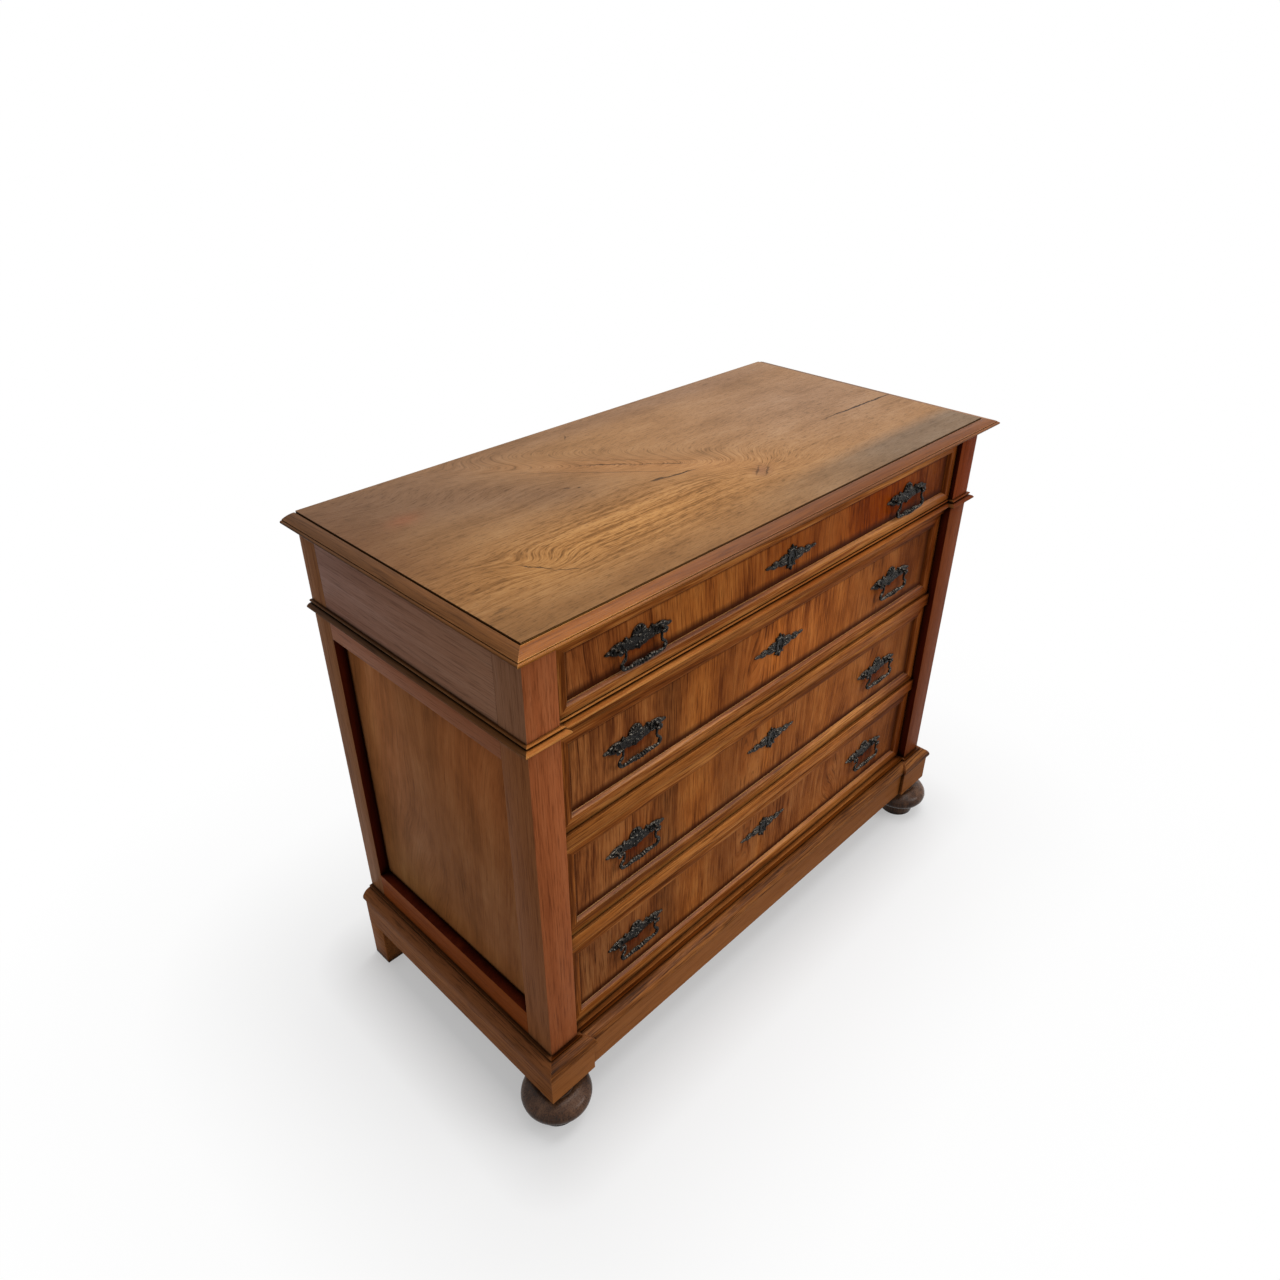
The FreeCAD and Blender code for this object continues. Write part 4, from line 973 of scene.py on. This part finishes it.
def whole_path(half):
    """A wall line round the chest from its left half."""
    return half + [(-x, y) for x, y in reversed(half)]


def stepped_path(setback):
    """The wall line round both sides and the front, stepping back between the posts."""
    sides = [(-BODY_HALF, BACK_Y), (-BODY_HALF, FRONT_Y)]
    return whole_path(sides + [(-OPENING_HALF, FRONT_Y), (-OPENING_HALF, FRONT_Y + setback)])


top_path = whole_path([(-TOP_HALF, BACK_Y), (-TOP_HALF, FRONT_Y)])
print("corners of the top:", len(top_path), "and of the plinth:", len(stepped_path(PLINTH_SETBACK)))

# %% Mouldings and plinth
MOULD_GOLD = ((0.15, 0.04, 0.003), (0.27, 0.076, 0.005), (0.4, 0.13, 0.014))
WAIST_GOLD = ((0.34, 0.1, 0.016), (0.56, 0.18, 0.034), (0.8, 0.32, 0.08))
# These washes darken the right end of the front mouldings: painted shade.
MOULD_RIGHT_SHADE = ((0.5, 0.48, 0.8), ("X", -0.46, -0.16))
WAIST_RIGHT_SHADE = ((0.64, 0.52, 0.42), ("X", -0.3, 0.0))
MOULD_BACK = ((0.6, 0.66, 0.85), ("Y", -0.22, 0.1))
MOULD_FINISH = {"sheen": 0.32, "dirt": 0.01, "pores": 0.3}
GOLD_FINISH = {"wear": 0.9, "worn_highlight_tone": WORN_HIGHLIGHT_GOLD, **MOULD_FINISH}

mould_front = straight_wood(
    "mould_front", "X", MOULD_GOLD, washes=[MOULD_RIGHT_SHADE], dusted=0.12, **GOLD_FINISH
)
mould_side = straight_wood("mould_side", "Y", RIM_WALNUT, wear=0.6, washes=[MOULD_BACK], **MOULD_FINISH)
waist_front = straight_wood("waist_front", "X", WAIST_GOLD, washes=[WAIST_RIGHT_SHADE, SHADED_END], **GOLD_FINISH)
base_side = woods["base_side_walnut"]
plinth_path = stepped_path(PLINTH_SETBACK)
MOULDINGS = {
    "top_moulding": (top_path, TOP_PROFILE, [mould_front, mould_side]),
    "waist_moulding": (stepped_path(WAIST_SETBACK), WAIST_PROFILE, [waist_front, mould_side]),
    "plinth_moulding": (plinth_path, PLINTH_PROFILE, [woods["base_walnut"], base_side]),
    "plinth_boards": (plinth_path, BOARD_PROFILE, [woods["base_board"], base_side]),
}
for node, (path, profile, paints) in MOULDINGS.items():
    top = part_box("top_board" if node == "top_moulding" else node)[1].z
    slot = "walnut" if node == "plinth_boards" else "moulding"
    make_piece(moulding(path, profile, top), f"run_{node}", CARCASE, slot, paints, node)
print("mouldings:", len(MOULDINGS))

# %% [markdown]
# ## Turned feet
# The front stands on two buns with a pad below and a neck above. Turned work is a profile spun about an axis,
# on a lathe and in Blender alike, so a few points and arcs are all it needs.

# %% Front feet
FOOT_STEPS = 72
FOOT_PROFILE = [
    (0, 0), (35.5, 0), (37, 1.5), (41, 31.5), (40, 33), (46, 33), (46, 68, -0.457), (44, 69.5), (31.5, 71.5),
    (30, 73, 0.2), (30, 91), (0, 91),
]


def turned(points, base, axis, steps):
    """A turning from points of radius and place along its axis, spun once round."""
    shape = bmesh.new()
    side = axis.orthogonal().normalized()
    corners = outline_corners(points)
    verts = [shape.verts.new(base + side * radius + axis * along) for radius, along in corners]
    edges = [shape.edges.new(pair) for pair in zip(verts, verts[1:])]
    bmesh.ops.spin(
        shape, geom=verts + edges, cent=base, axis=axis, angle=2 * math.pi, steps=steps, use_merge=True,
    )
    bmesh.ops.remove_doubles(shape, verts=shape.verts, dist=MERGE)
    return shape


def cast(shape):
    """A mesh of a finished shape, to be stamped where it is wanted."""
    mesh = bpy.data.meshes.new("casting")
    shape.to_mesh(mesh)
    shape.free()
    return mesh


def stamp(shape, mesh, move=Matrix.Identity(4)):
    """Add a moved copy of a mesh to a shape."""
    copy = mesh.copy()
    copy.transform(move)
    shape.from_mesh(copy)
    bpy.data.meshes.remove(copy)
    return shape


foot_low, foot_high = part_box("front_feet")
foot_radius = (foot_high.y - foot_low.y) / 2
feet_shape = bmesh.new()
for hand in HANDS:
    foot_place = Vector((hand * (foot_high.x - foot_radius), foot_low.y + foot_radius, 0.0))
    stamp(feet_shape, cast(turned(FOOT_PROFILE, foot_place, Vector((0.0, 0.0, 1.0)), FOOT_STEPS)))
make_piece(feet_shape, "turned_feet", CARCASE, "feet", [woods["foot_walnut"]], "front_feet")
print("turned feet:", len(HANDS))

# %% [markdown]
# ## Drawers
# Each drawer front is a veneered board with a mitred frame planted on it. The strips of the frame slope down
# to the panel. A strip is a short wedge: one face at its front, extruded back and spread. The three lower
# drawers are veneered from one flitch, so their stripes run through from drawer to drawer.

# %% Drawer frames
# Painted shade on the top strip of the second drawer, under the rail above it, and a painted highlight on the
# bottom strip of the third.
UPPER_STRIP_SHADE = ((0.85, 0.8, 0.8), ("Z", 0.768, 0.772), ("Z", 0.8, 0.797))
LOWER_STRIP_HIGHLIGHT = ((1.18, 1.27, 1.26), ("Z", 0.394, 0.397), ("Z", 0.426, 0.422))
FRAME_FINISH = {
    "sheen": 0.3, "dusted": 0.18, "pores": 0.4, "worn_highlight_tone": WORN_HIGHLIGHT_GOLD, "dirt": 0.012, "contrast": 2.0,
    "washes": [SHADED_END, UPPER_STRIP_SHADE, LOWER_STRIP_HIGHLIGHT],
}
frame_walnut = straight_wood("frame_walnut", "X", GOLD_WALNUT, wear=0.8, **FRAME_FINISH)
frame_upright = straight_wood("frame_upright", "Z", GOLD_WALNUT, wear=0.3, **FRAME_FINISH)


def frame_strips(drawer):
    """Four mitred strips round a drawer's panel; upright strips take the second paint."""
    low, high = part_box(f"{drawer}_front_frame")
    flat, bevelled = frame_insets(drawer)

    def corners(inset, y):
        """The corners of a rectangle set in from the edge of the front."""
        left, right = low.x + inset[0], high.x - inset[0]
        under, over = low.z + inset[1], high.z - inset[1]
        return [Vector((x, y, z)) for x, z in ((left, under), (right, under), (right, over), (left, over))]

    sides = [
        (corners((0.0, 0.0), low.y), corners(flat, low.y)),
        (corners((0.0, 0.0), high.y), corners(bevelled, high.y)),
    ]
    shape = bmesh.new()
    for number in range(4):
        front, back = [
            [outer[number - 1], outer[number], inner[number], inner[number - 1]] for outer, inner in sides
        ]
        verts = [shape.verts.new(corner) for corner in front]
        moved = extruded(shape, [shape.faces.new(verts)])
        for vert in moved:
            vert.co = back[min(range(4), key=lambda index: (vert.co - front[index]).length)]
        run = (front[1] - front[0]).normalized()
        finish_length(shape, verts + moved, run, int(number % 2 == 0), EASE)
    return shape


for drawer in DRAWERS:
    paints = [frame_walnut, frame_upright]
    make_piece(frame_strips(drawer), f"{drawer}_strips", drawer, "walnut", paints, f"{drawer}_front_frame")
    paint_node(f"{drawer}_front", veneers[drawer])
    paint_node(f"{drawer}_box", woods["deal_y"])
    paint_node(f"{drawer}_bottom", woods["deal_x"])
print("drawer frames:", len(DRAWERS))

# %% [markdown]
# ## Cast bronze and iron
# The mounts are cast bronze, gone nearly black in the hollows and rubbed grey on the high spots. One
# noise field makes the chased skin, and the same field says where it has been rubbed. Faces that look up
# are lightened as well, which is a painted highlight.

# %% Metals
CHASED_SCALE, CHASED_DETAIL, CHASED_ROUGH = 330.0, 3.0, 0.6
CHASED_RELIEF = (0.8, 1.6 * MM)
# Share by which faces that look up are lightened: a painted highlight.
UPWARD_HIGHLIGHT_SHARE = 0.22
RUBBED_AND_LIT_RANGE = (0.61, 0.78)
DULLER, SHINIER = 0.15, 0.05
METALLIC = 0.3


def metal(name, dark, bright, rough, gloss):
    """Old cast metal: dark, with rubbed spots where its chased skin stands up, more of them on faces that
    look up as a painted highlight, and a little gloss.
    """
    paint, tree, shader = new_paint(name)
    chased = noise(tree, object_place(tree), CHASED_SCALE, CHASED_DETAIL, CHASED_ROUGH)
    raised_and_lit = weighted(tree, ((chased, 1.0), (facing_up(tree, "Normal"), UPWARD_HIGHLIGHT_SHARE)))
    rubbed_and_lit = rescale(tree, raised_and_lit, *RUBBED_AND_LIT_RANGE, 0.0, 1.0)
    set_inputs(tree, shader, {
        "Base Color": mix_colours(tree, rubbed_and_lit, dark, bright),
        "Roughness": rescale(tree, chased, *LINE_RANGE, rough + DULLER, rough - SHINIER),
        "Metallic": METALLIC,
        "Specular IOR Level": gloss,
        "Normal": relief(tree, chased, *CHASED_RELIEF),
    })
    return paint


bronze = metal("bronze", (0.005, 0.004, 0.0032), (0.28, 0.245, 0.2), 0.22, 0.11)
iron = metal("iron", (0.05, 0.047, 0.044), (0.2, 0.19, 0.18), 0.5, 0.08)
for drawer in DRAWERS:
    paint_node(f"{drawer}_lock", iron)
    paint_node(f"{drawer}_lock_bolt", iron)
print("locks painted:", len(DRAWERS))

# %% [markdown]
# ## Handles
# Each handle is a cast back plate, two ball posts and a drop bail. Castings are soft swelling forms, so the
# plate is a bevelled outline with lobes laid on it: flattened balls turned and stretched into flutes and
# leaves. The scrolls and the bail are tubes drawn along a line with a changing thickness. Sizes are written
# in millimetres here, because a handle is measured in them.

# %% Shapes of the castings
LOBE_SEGMENTS = 14
LOBE_RINGS = 10
TUBE_SIDES = 12


def lobe(shape, place, size, turn=0.0):
    """A flattened ball in the plane of the front; place and size go across, out and up."""
    move = Matrix.Translation(Vector((place[0], -place[1], place[2])) * MM)
    spread = Matrix.Diagonal(Vector((*size, 1.0 / MM)) * MM)
    matrix = move @ Matrix.Rotation(math.radians(-turn), 4, "Y") @ spread
    bmesh.ops.create_uvsphere(
        shape, u_segments=LOBE_SEGMENTS, v_segments=LOBE_RINGS, radius=1.0, matrix=matrix
    )


def lobe_pairs(shape, rows):
    """Lobes on the right, from rows of place, size and turn, and their mirror images on the left."""
    for place, size, turn in rows:
        for hand in HANDS:
            lobe(shape, (hand * place[0], *place[1:]), size, hand * turn)


def tube(shape, points, radii):
    """A tube through points with its own radius at each, closed at both ends."""
    rings = []
    for number, (point, radius) in enumerate(zip(points, radii)):
        before, after = points[max(number - 1, 0)], points[min(number + 1, len(points) - 1)]
        turn = (after - before).to_track_quat("Z", "Y").to_matrix().to_4x4()
        matrix = Matrix.Translation(point) @ turn
        made = bmesh.ops.create_circle(shape, segments=TUBE_SIDES, radius=radius, matrix=matrix)["verts"]
        rings.append({edge for vert in made for edge in vert.link_edges})
    for ring, following in zip(rings, rings[1:]):
        bmesh.ops.bridge_loops(shape, edges=list(ring | following))
    for ring in (rings[0], rings[-1]):
        bmesh.ops.contextual_create(shape, geom=list(ring))


def flat_plate(outline, thickness, ease, hole=()):
    """A flat casting with an eased front edge, in the plane of the front, with its back at zero depth."""
    shape = bmesh.new()
    edges = []
    for loop in filter(None, (outline, hole)):
        verts = [shape.verts.new((across, 0.0, up)) for across, up in loop]
        edges += [shape.edges.new(pair) for pair in zip(verts, verts[1:] + verts[:1])]
    bmesh.ops.triangle_fill(shape, edges=edges, use_beauty=True, use_dissolve=False)
    moved = extruded(shape, shape.faces[:])
    bmesh.ops.translate(shape, verts=moved, vec=(0.0, -thickness, 0.0))
    front = set(moved)
    rim = [
        edge
        for edge in shape.edges
        if set(edge.verts) <= front and any(not set(face.verts) <= front for face in edge.link_faces)
    ]
    ease_edges(shape, rim, ease)
    return shape


def mirrored_outline(half):
    """A whole outline from its right half, which runs from the top to the bottom."""
    right = outline_corners([half[0][:2]] + half[1:])[1:]
    top = (half[0][0] * MM, half[0][1] * MM)
    inner = right[:-1] if abs(right[-1][0]) < MERGE else right
    return [top] + right + [(-across, up) for across, up in reversed(inner)]


print("a lobe has", LOBE_SEGMENTS, "segments")

# %% Handle plate
PLATE_T = 2 * MM
PLATE_EASE = 0.7 * MM
PLATE_HALF = [
    (0, 23), (14, 9, 0.207), (13.6, 8), (20, 7.4), (23, 11, -0.1), (28, 10.6, 0.4), (30.6, 6.6, -0.1),
    (42, 8.8, 0.16), (54, 6.4, 0.12), (60, 3.4, -0.12), (66.5, 0.6, 0.12), (58, -2.4, 0.12), (50, -6.4, -0.1),
    (38, -8.4, 0.16), (32, -6.2, -0.12), (27, -9, 0.2), (18, -9.6, 0.1), (8, -12.4, 0.14), (0, -17, -0.1),
]
FLUTES = 7
FLUTE_TURN = 25.0
FLUTE_REACH = 9.0
FLUTE_FOOT = 7.0
FLUTE_SIZE = (2.2, 2.0, 6.2)
SCROLL_STEPS = 17
SCROLL_START, SCROLL_TURN = 200, 26
SCROLL_X, SCROLL_OUT, SCROLL_Z = 41, 2.2, 0.4
SCROLL_REACH, SCROLL_CLOSES = 9.0, 0.22
SCROLL_R, SCROLL_THINS = 1.7, 0.05
PLATE_LOBES = (
    ((27, 2.2, 8.6), (3.2, 2.2, 3.2), 0),
    ((13, 1.8, -1), (9.5, 1.1, 3.6), 8),
    ((12, 1.8, -6), (8, 1.0, 2.4), 14),
    ((22, 1.8, 3.5), (7, 1.0, 2.2), -10),
    ((5, 2.0, -9), (2.0, 1.4, 3.6), 32),
    ((52, 1.9, 4.6), (5.4, 1.8, 2.6), -14),
    ((51, 1.9, -4.0), (5.2, 1.7, 2.4), 22),
    ((57, 1.8, 1.0), (5.4, 1.6, 2.2), -6),
    ((62.5, 1.6, 0.8), (4.0, 1.2, 1.3), -10),
    ((36, 1.9, 6.6), (5.0, 1.8, 2.2), 10),
    ((36, 1.9, -6.4), (5.0, 1.8, 2.0), -14),
    ((43, 1.9, 8.2), (3.2, 1.6, 1.6), -30),
)


def scroll(shape, hand):
    """A tube that coils inwards at one end of a plate."""
    points = []
    for step in range(SCROLL_STEPS):
        angle = math.radians(SCROLL_START - step * SCROLL_TURN)
        reach = SCROLL_REACH - step * SCROLL_CLOSES
        across, up = SCROLL_X + reach * math.cos(angle), SCROLL_Z + reach * math.sin(angle)
        points.append(Vector((hand * across, -SCROLL_OUT, up)) * MM)
    tube(shape, points, [(SCROLL_R - step * SCROLL_THINS) * MM for step in range(SCROLL_STEPS)])


def handle_plate():
    """One back plate: a fluted shell over a field with ears and a pendant, and leaves at the ends."""
    shape = flat_plate(mirrored_outline(PLATE_HALF), PLATE_T, PLATE_EASE)
    for number in range(FLUTES):
        turn = (number - (FLUTES - 1) / 2) * FLUTE_TURN
        across = FLUTE_REACH * math.sin(math.radians(turn))
        up = FLUTE_FOOT + FLUTE_REACH * math.cos(math.radians(turn))
        lobe(shape, (across, 2.2, up), FLUTE_SIZE, -turn)
    lobe(shape, (0, 2.4, 6.5), (4.0, 2.6, 3.4))
    lobe(shape, (0, 2.0, -9.5), (3.0, 1.8, 6.5))
    for hand in HANDS:
        scroll(shape, hand)
    lobe_pairs(shape, PLATE_LOBES)
    return shape


plate_cast = cast(handle_plate())
print("handle plate has", len(plate_cast.polygons), "faces")

# %% Posts
POST_OUT = 11
POST_X = 44
POST_STEPS = 24
FRONT_T = 18
POST_PROFILE = [
    (0, 1), (7, 1), (7, 3, 0.25), (4.4, 3.8), (2.8, 4.6, -0.15), (2.8, 6.2), (5.5, 11, 0.17),
    (0, 16.5, 0.207),
]
NUT_SIZE = (11, 4, 11)
SHANK_R = 2.2
SHANK_EASE = 0.4
SHANK_END = 2


def handle_post():
    """A turned ball post with its shank through the front and a square nut behind."""
    forward = Vector((0.0, -1.0, 0.0))
    shape = turned(POST_PROFILE, Vector(), forward, POST_STEPS)
    tail = FRONT_T + NUT_SIZE[1] + SHANK_END
    shank = [(0, -tail), (SHANK_R, SHANK_EASE - tail), (SHANK_R, 1), (0, 1)]
    stamp(shape, cast(turned(shank, Vector(), forward, POST_STEPS)))
    nut = bmesh.new()
    block(nut, (0.0, (FRONT_T + NUT_SIZE[1] / 2) * MM, 0.0), Vector(NUT_SIZE) * MM)
    ease_edges(nut, nut.edges[:])
    return stamp(shape, cast(nut))


post_cast = cast(handle_post())
print("post has", len(post_cast.polygons), "faces")

# %% Bail
BAIL_ARM = 36.2
PIN_R = 1.5
PIN_END = POST_X - 2
BAIL_STEPS = 7
BAIL_LINE = (
    ((36.2, 0), (36.6, -4), (34.0, -8), (36.5, -12)),
    ((36.5, -12), (39.5, -16), (45.5, -19), (44.0, -24)),
    ((44.0, -24), (42.5, -29.5), (38.5, -31), (30, -31)),
    ((30, -31), (20, -31), (10, -31), (0, -31)),
)
BAIL_RADII = (2.2, 2.0, 2.5, 2.3, 2.6)
BAIL_LOBES = (
    ((BAIL_ARM, 0, 0), (2.1, 3.2, 3.2), 0),
    ((3.9, 0, -30.8), (2.9, 4.1, 4.8), 0),
    ((9.2, 0, -30.2), (2.8, 3.8, 5.0), 16),
    ((14, 0, -29.2), (4.4, 3.6, 4.6), 22),
    ((19.5, 0, -29.4), (4.6, 3.4, 4.0), 18),
    ((26, 0, -30.4), (4.8, 2.9, 3.2), -4),
    ((33, 0, -29.9), (4.4, 2.7, 2.9), -14),
    ((41.4, 0, -25), (2.8, 2.8, 4.6), -16),
    ((37.6, 0, -14.5), (2.6, 2.5, 4.0), 38),
)


def bail():
    """One drop bail about its pivot line: swan necks, a leafy grip and a double knob in the middle."""
    shape = bmesh.new()
    points, radii = [], []
    for span, first, last in zip(BAIL_LINE, BAIL_RADII, BAIL_RADII[1:]):
        known = 1 if points else 0
        handles = [Vector((across, 0.0, up)) * MM for across, up in span]
        points += interpolate_bezier(*handles, BAIL_STEPS)[known:]
        grow = (last - first) / (BAIL_STEPS - 1)
        radii += [(first + grow * step) * MM for step in range(known, BAIL_STEPS)]
    turn_over = [Vector((-point.x, 0.0, point.z)) for point in points[-2::-1]]
    tube(shape, points + turn_over, radii + radii[-2::-1])
    for hand in HANDS:
        pin = [Vector((hand * across, 0.0, 0.0)) * MM for across in (BAIL_ARM, PIN_END)]
        tube(shape, pin, [PIN_R * MM] * len(pin))
    lobe_pairs(shape, BAIL_LOBES)
    lobe(shape, (0, 0, -31), (1.4, 3.3, 3.3))
    return shape


bail_cast = cast(bail())
print("bail is", 2 * BAIL_ARM, "mm between its arms")

# %% Hang the handles
hinges = {joint["child"]: Vector(joint["pos_m"]) for joint in frame["joints"] if joint["type"] == "hinge"}
for drawer in DRAWERS:
    plates, posts = bmesh.new(), bmesh.new()
    for hand in ("left", "right"):
        body = f"{drawer}_{hand}_handle"
        pivot = hinges[body]
        seat = Matrix.Translation(pivot + Vector((0.0, POST_OUT * MM, 0.0)))
        stamp(plates, plate_cast, seat)
        for side in HANDS:
            stamp(posts, post_cast, seat @ Matrix.Translation((side * POST_X * MM, 0.0, 0.0)))
        hung = stamp(bmesh.new(), bail_cast, Matrix.Translation(pivot))
        make_piece(hung, f"{drawer}_{hand}_drop", body, "bronze", [bronze], f"{drawer}_bail_{hand}")
    make_piece(plates, f"{drawer}_back_plates", drawer, "bronze", [bronze], f"{drawer}_handle_plates")
    make_piece(posts, f"{drawer}_ball_posts", drawer, "bronze", [bronze], f"{drawer}_handle_posts")
print("handles hung:", len(hinges))

# %% [markdown]
# ## Escutcheons
# The keyhole plates are cast like the handles: an oval boss round the keyhole, pointed above and below, with
# leafy arms to both sides. The keyhole is a real hole, so the dark inside of the lock shows through it.

# %% Keyhole plates
ESCUTCHEON_T = 2 * MM
ESCUTCHEON_EASE = 0.6 * MM
ESCUTCHEON_HALF = [
    (0, 23), (2.6, 17.8, -0.14), (6.4, 14.6, 0.2), (10.5, 9, 0.12), (15, 9.6, -0.1), (22, 8.8, 0.2),
    (32, 4.8, 0.16), (33, 3), (37, 5.8, -0.1), (43, 6, 0.16), (51, 3, 0.18), (52.5, 1.8), (60, 3, 0.12),
    (67, 1.6, 0.06), (60, -1.6, 0.1), (52.5, -1.6, 0.06), (51, -3), (43, -5.6, 0.18), (37, -5, 0.12),
    (33, -2.6, -0.1), (32, -4.6), (22, -8, 0.16), (15, -8.4, 0.14), (10.5, -9, -0.1), (6.4, -14.6, 0.12),
    (2.6, -17.8, 0.2), (0, -23, -0.14),
]
KEYHOLE = [(-1.5, -9), (1.5, -9), (1.5, -2.6), (-1.5, -2.6, -1.1)]
BOSS_WIDE, BOSS_OUT, BOSS_TALL = 9.6, 2.0, 14.5
BOSS_R = 1.5
BOSS_STEPS = 33
TIP_Z, TIP_OUT, TIP_SIZE = 18.5, 1.9, (2.6, 1.7, 4.6)
ARM_LOBES = (
    ((18, 1.8, 5.6), (6.5, 1.8, 2.8), 8),
    ((18, 1.8, -5.0), (6.5, 1.8, 2.6), -8),
    ((25, 1.9, 4.4), (6.5, 1.7, 2.6), -24),
    ((25, 1.9, -3.8), (6.5, 1.7, 2.4), 24),
    ((24, 1.9, 0.2), (8.0, 1.9, 1.6), 0),
    ((40, 1.8, 3.4), (5.0, 1.7, 2.0), 6),
    ((40, 1.8, -2.8), (5.0, 1.6, 1.9), -6),
    ((46.5, 1.8, 2.6), (5.0, 1.5, 1.7), -22),
    ((46, 1.8, -2.0), (5.0, 1.5, 1.6), 20),
    ((59, 1.6, 0.8), (7.0, 1.3, 1.5), 4),
    ((8, 1.9, 14), (2.2, 1.6, 4.2), -52),
    ((8, 1.9, -14), (2.2, 1.6, 4.2), 52),
)


def keyhole_plate():
    """One keyhole plate about the middle of its keyhole."""
    outline, hole = mirrored_outline(ESCUTCHEON_HALF), outline_corners(KEYHOLE)
    shape = flat_plate(outline, ESCUTCHEON_T, ESCUTCHEON_EASE, hole)
    rim = []
    for step in range(BOSS_STEPS):
        angle = 2 * math.pi * step / (BOSS_STEPS - 1)
        rim.append(Vector((BOSS_WIDE * math.cos(angle), -BOSS_OUT, BOSS_TALL * math.sin(angle))) * MM)
    tube(shape, rim, [BOSS_R * MM] * BOSS_STEPS)
    for way in HANDS:
        lobe(shape, (0, TIP_OUT, way * TIP_Z), TIP_SIZE)
    lobe_pairs(shape, ARM_LOBES)
    return shape


keyhole_cast = cast(keyhole_plate())
for drawer in DRAWERS:
    low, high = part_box(f"{drawer}_escutcheon")
    seat = Matrix.Translation(((low.x + high.x) / 2, high.y, (low.z + high.z) / 2))
    plate = stamp(bmesh.new(), keyhole_cast, seat)
    make_piece(plate, f"{drawer}_keyhole_plate", drawer, "bronze", [bronze], f"{drawer}_escutcheon")
print("keyhole plates:", len(DRAWERS))
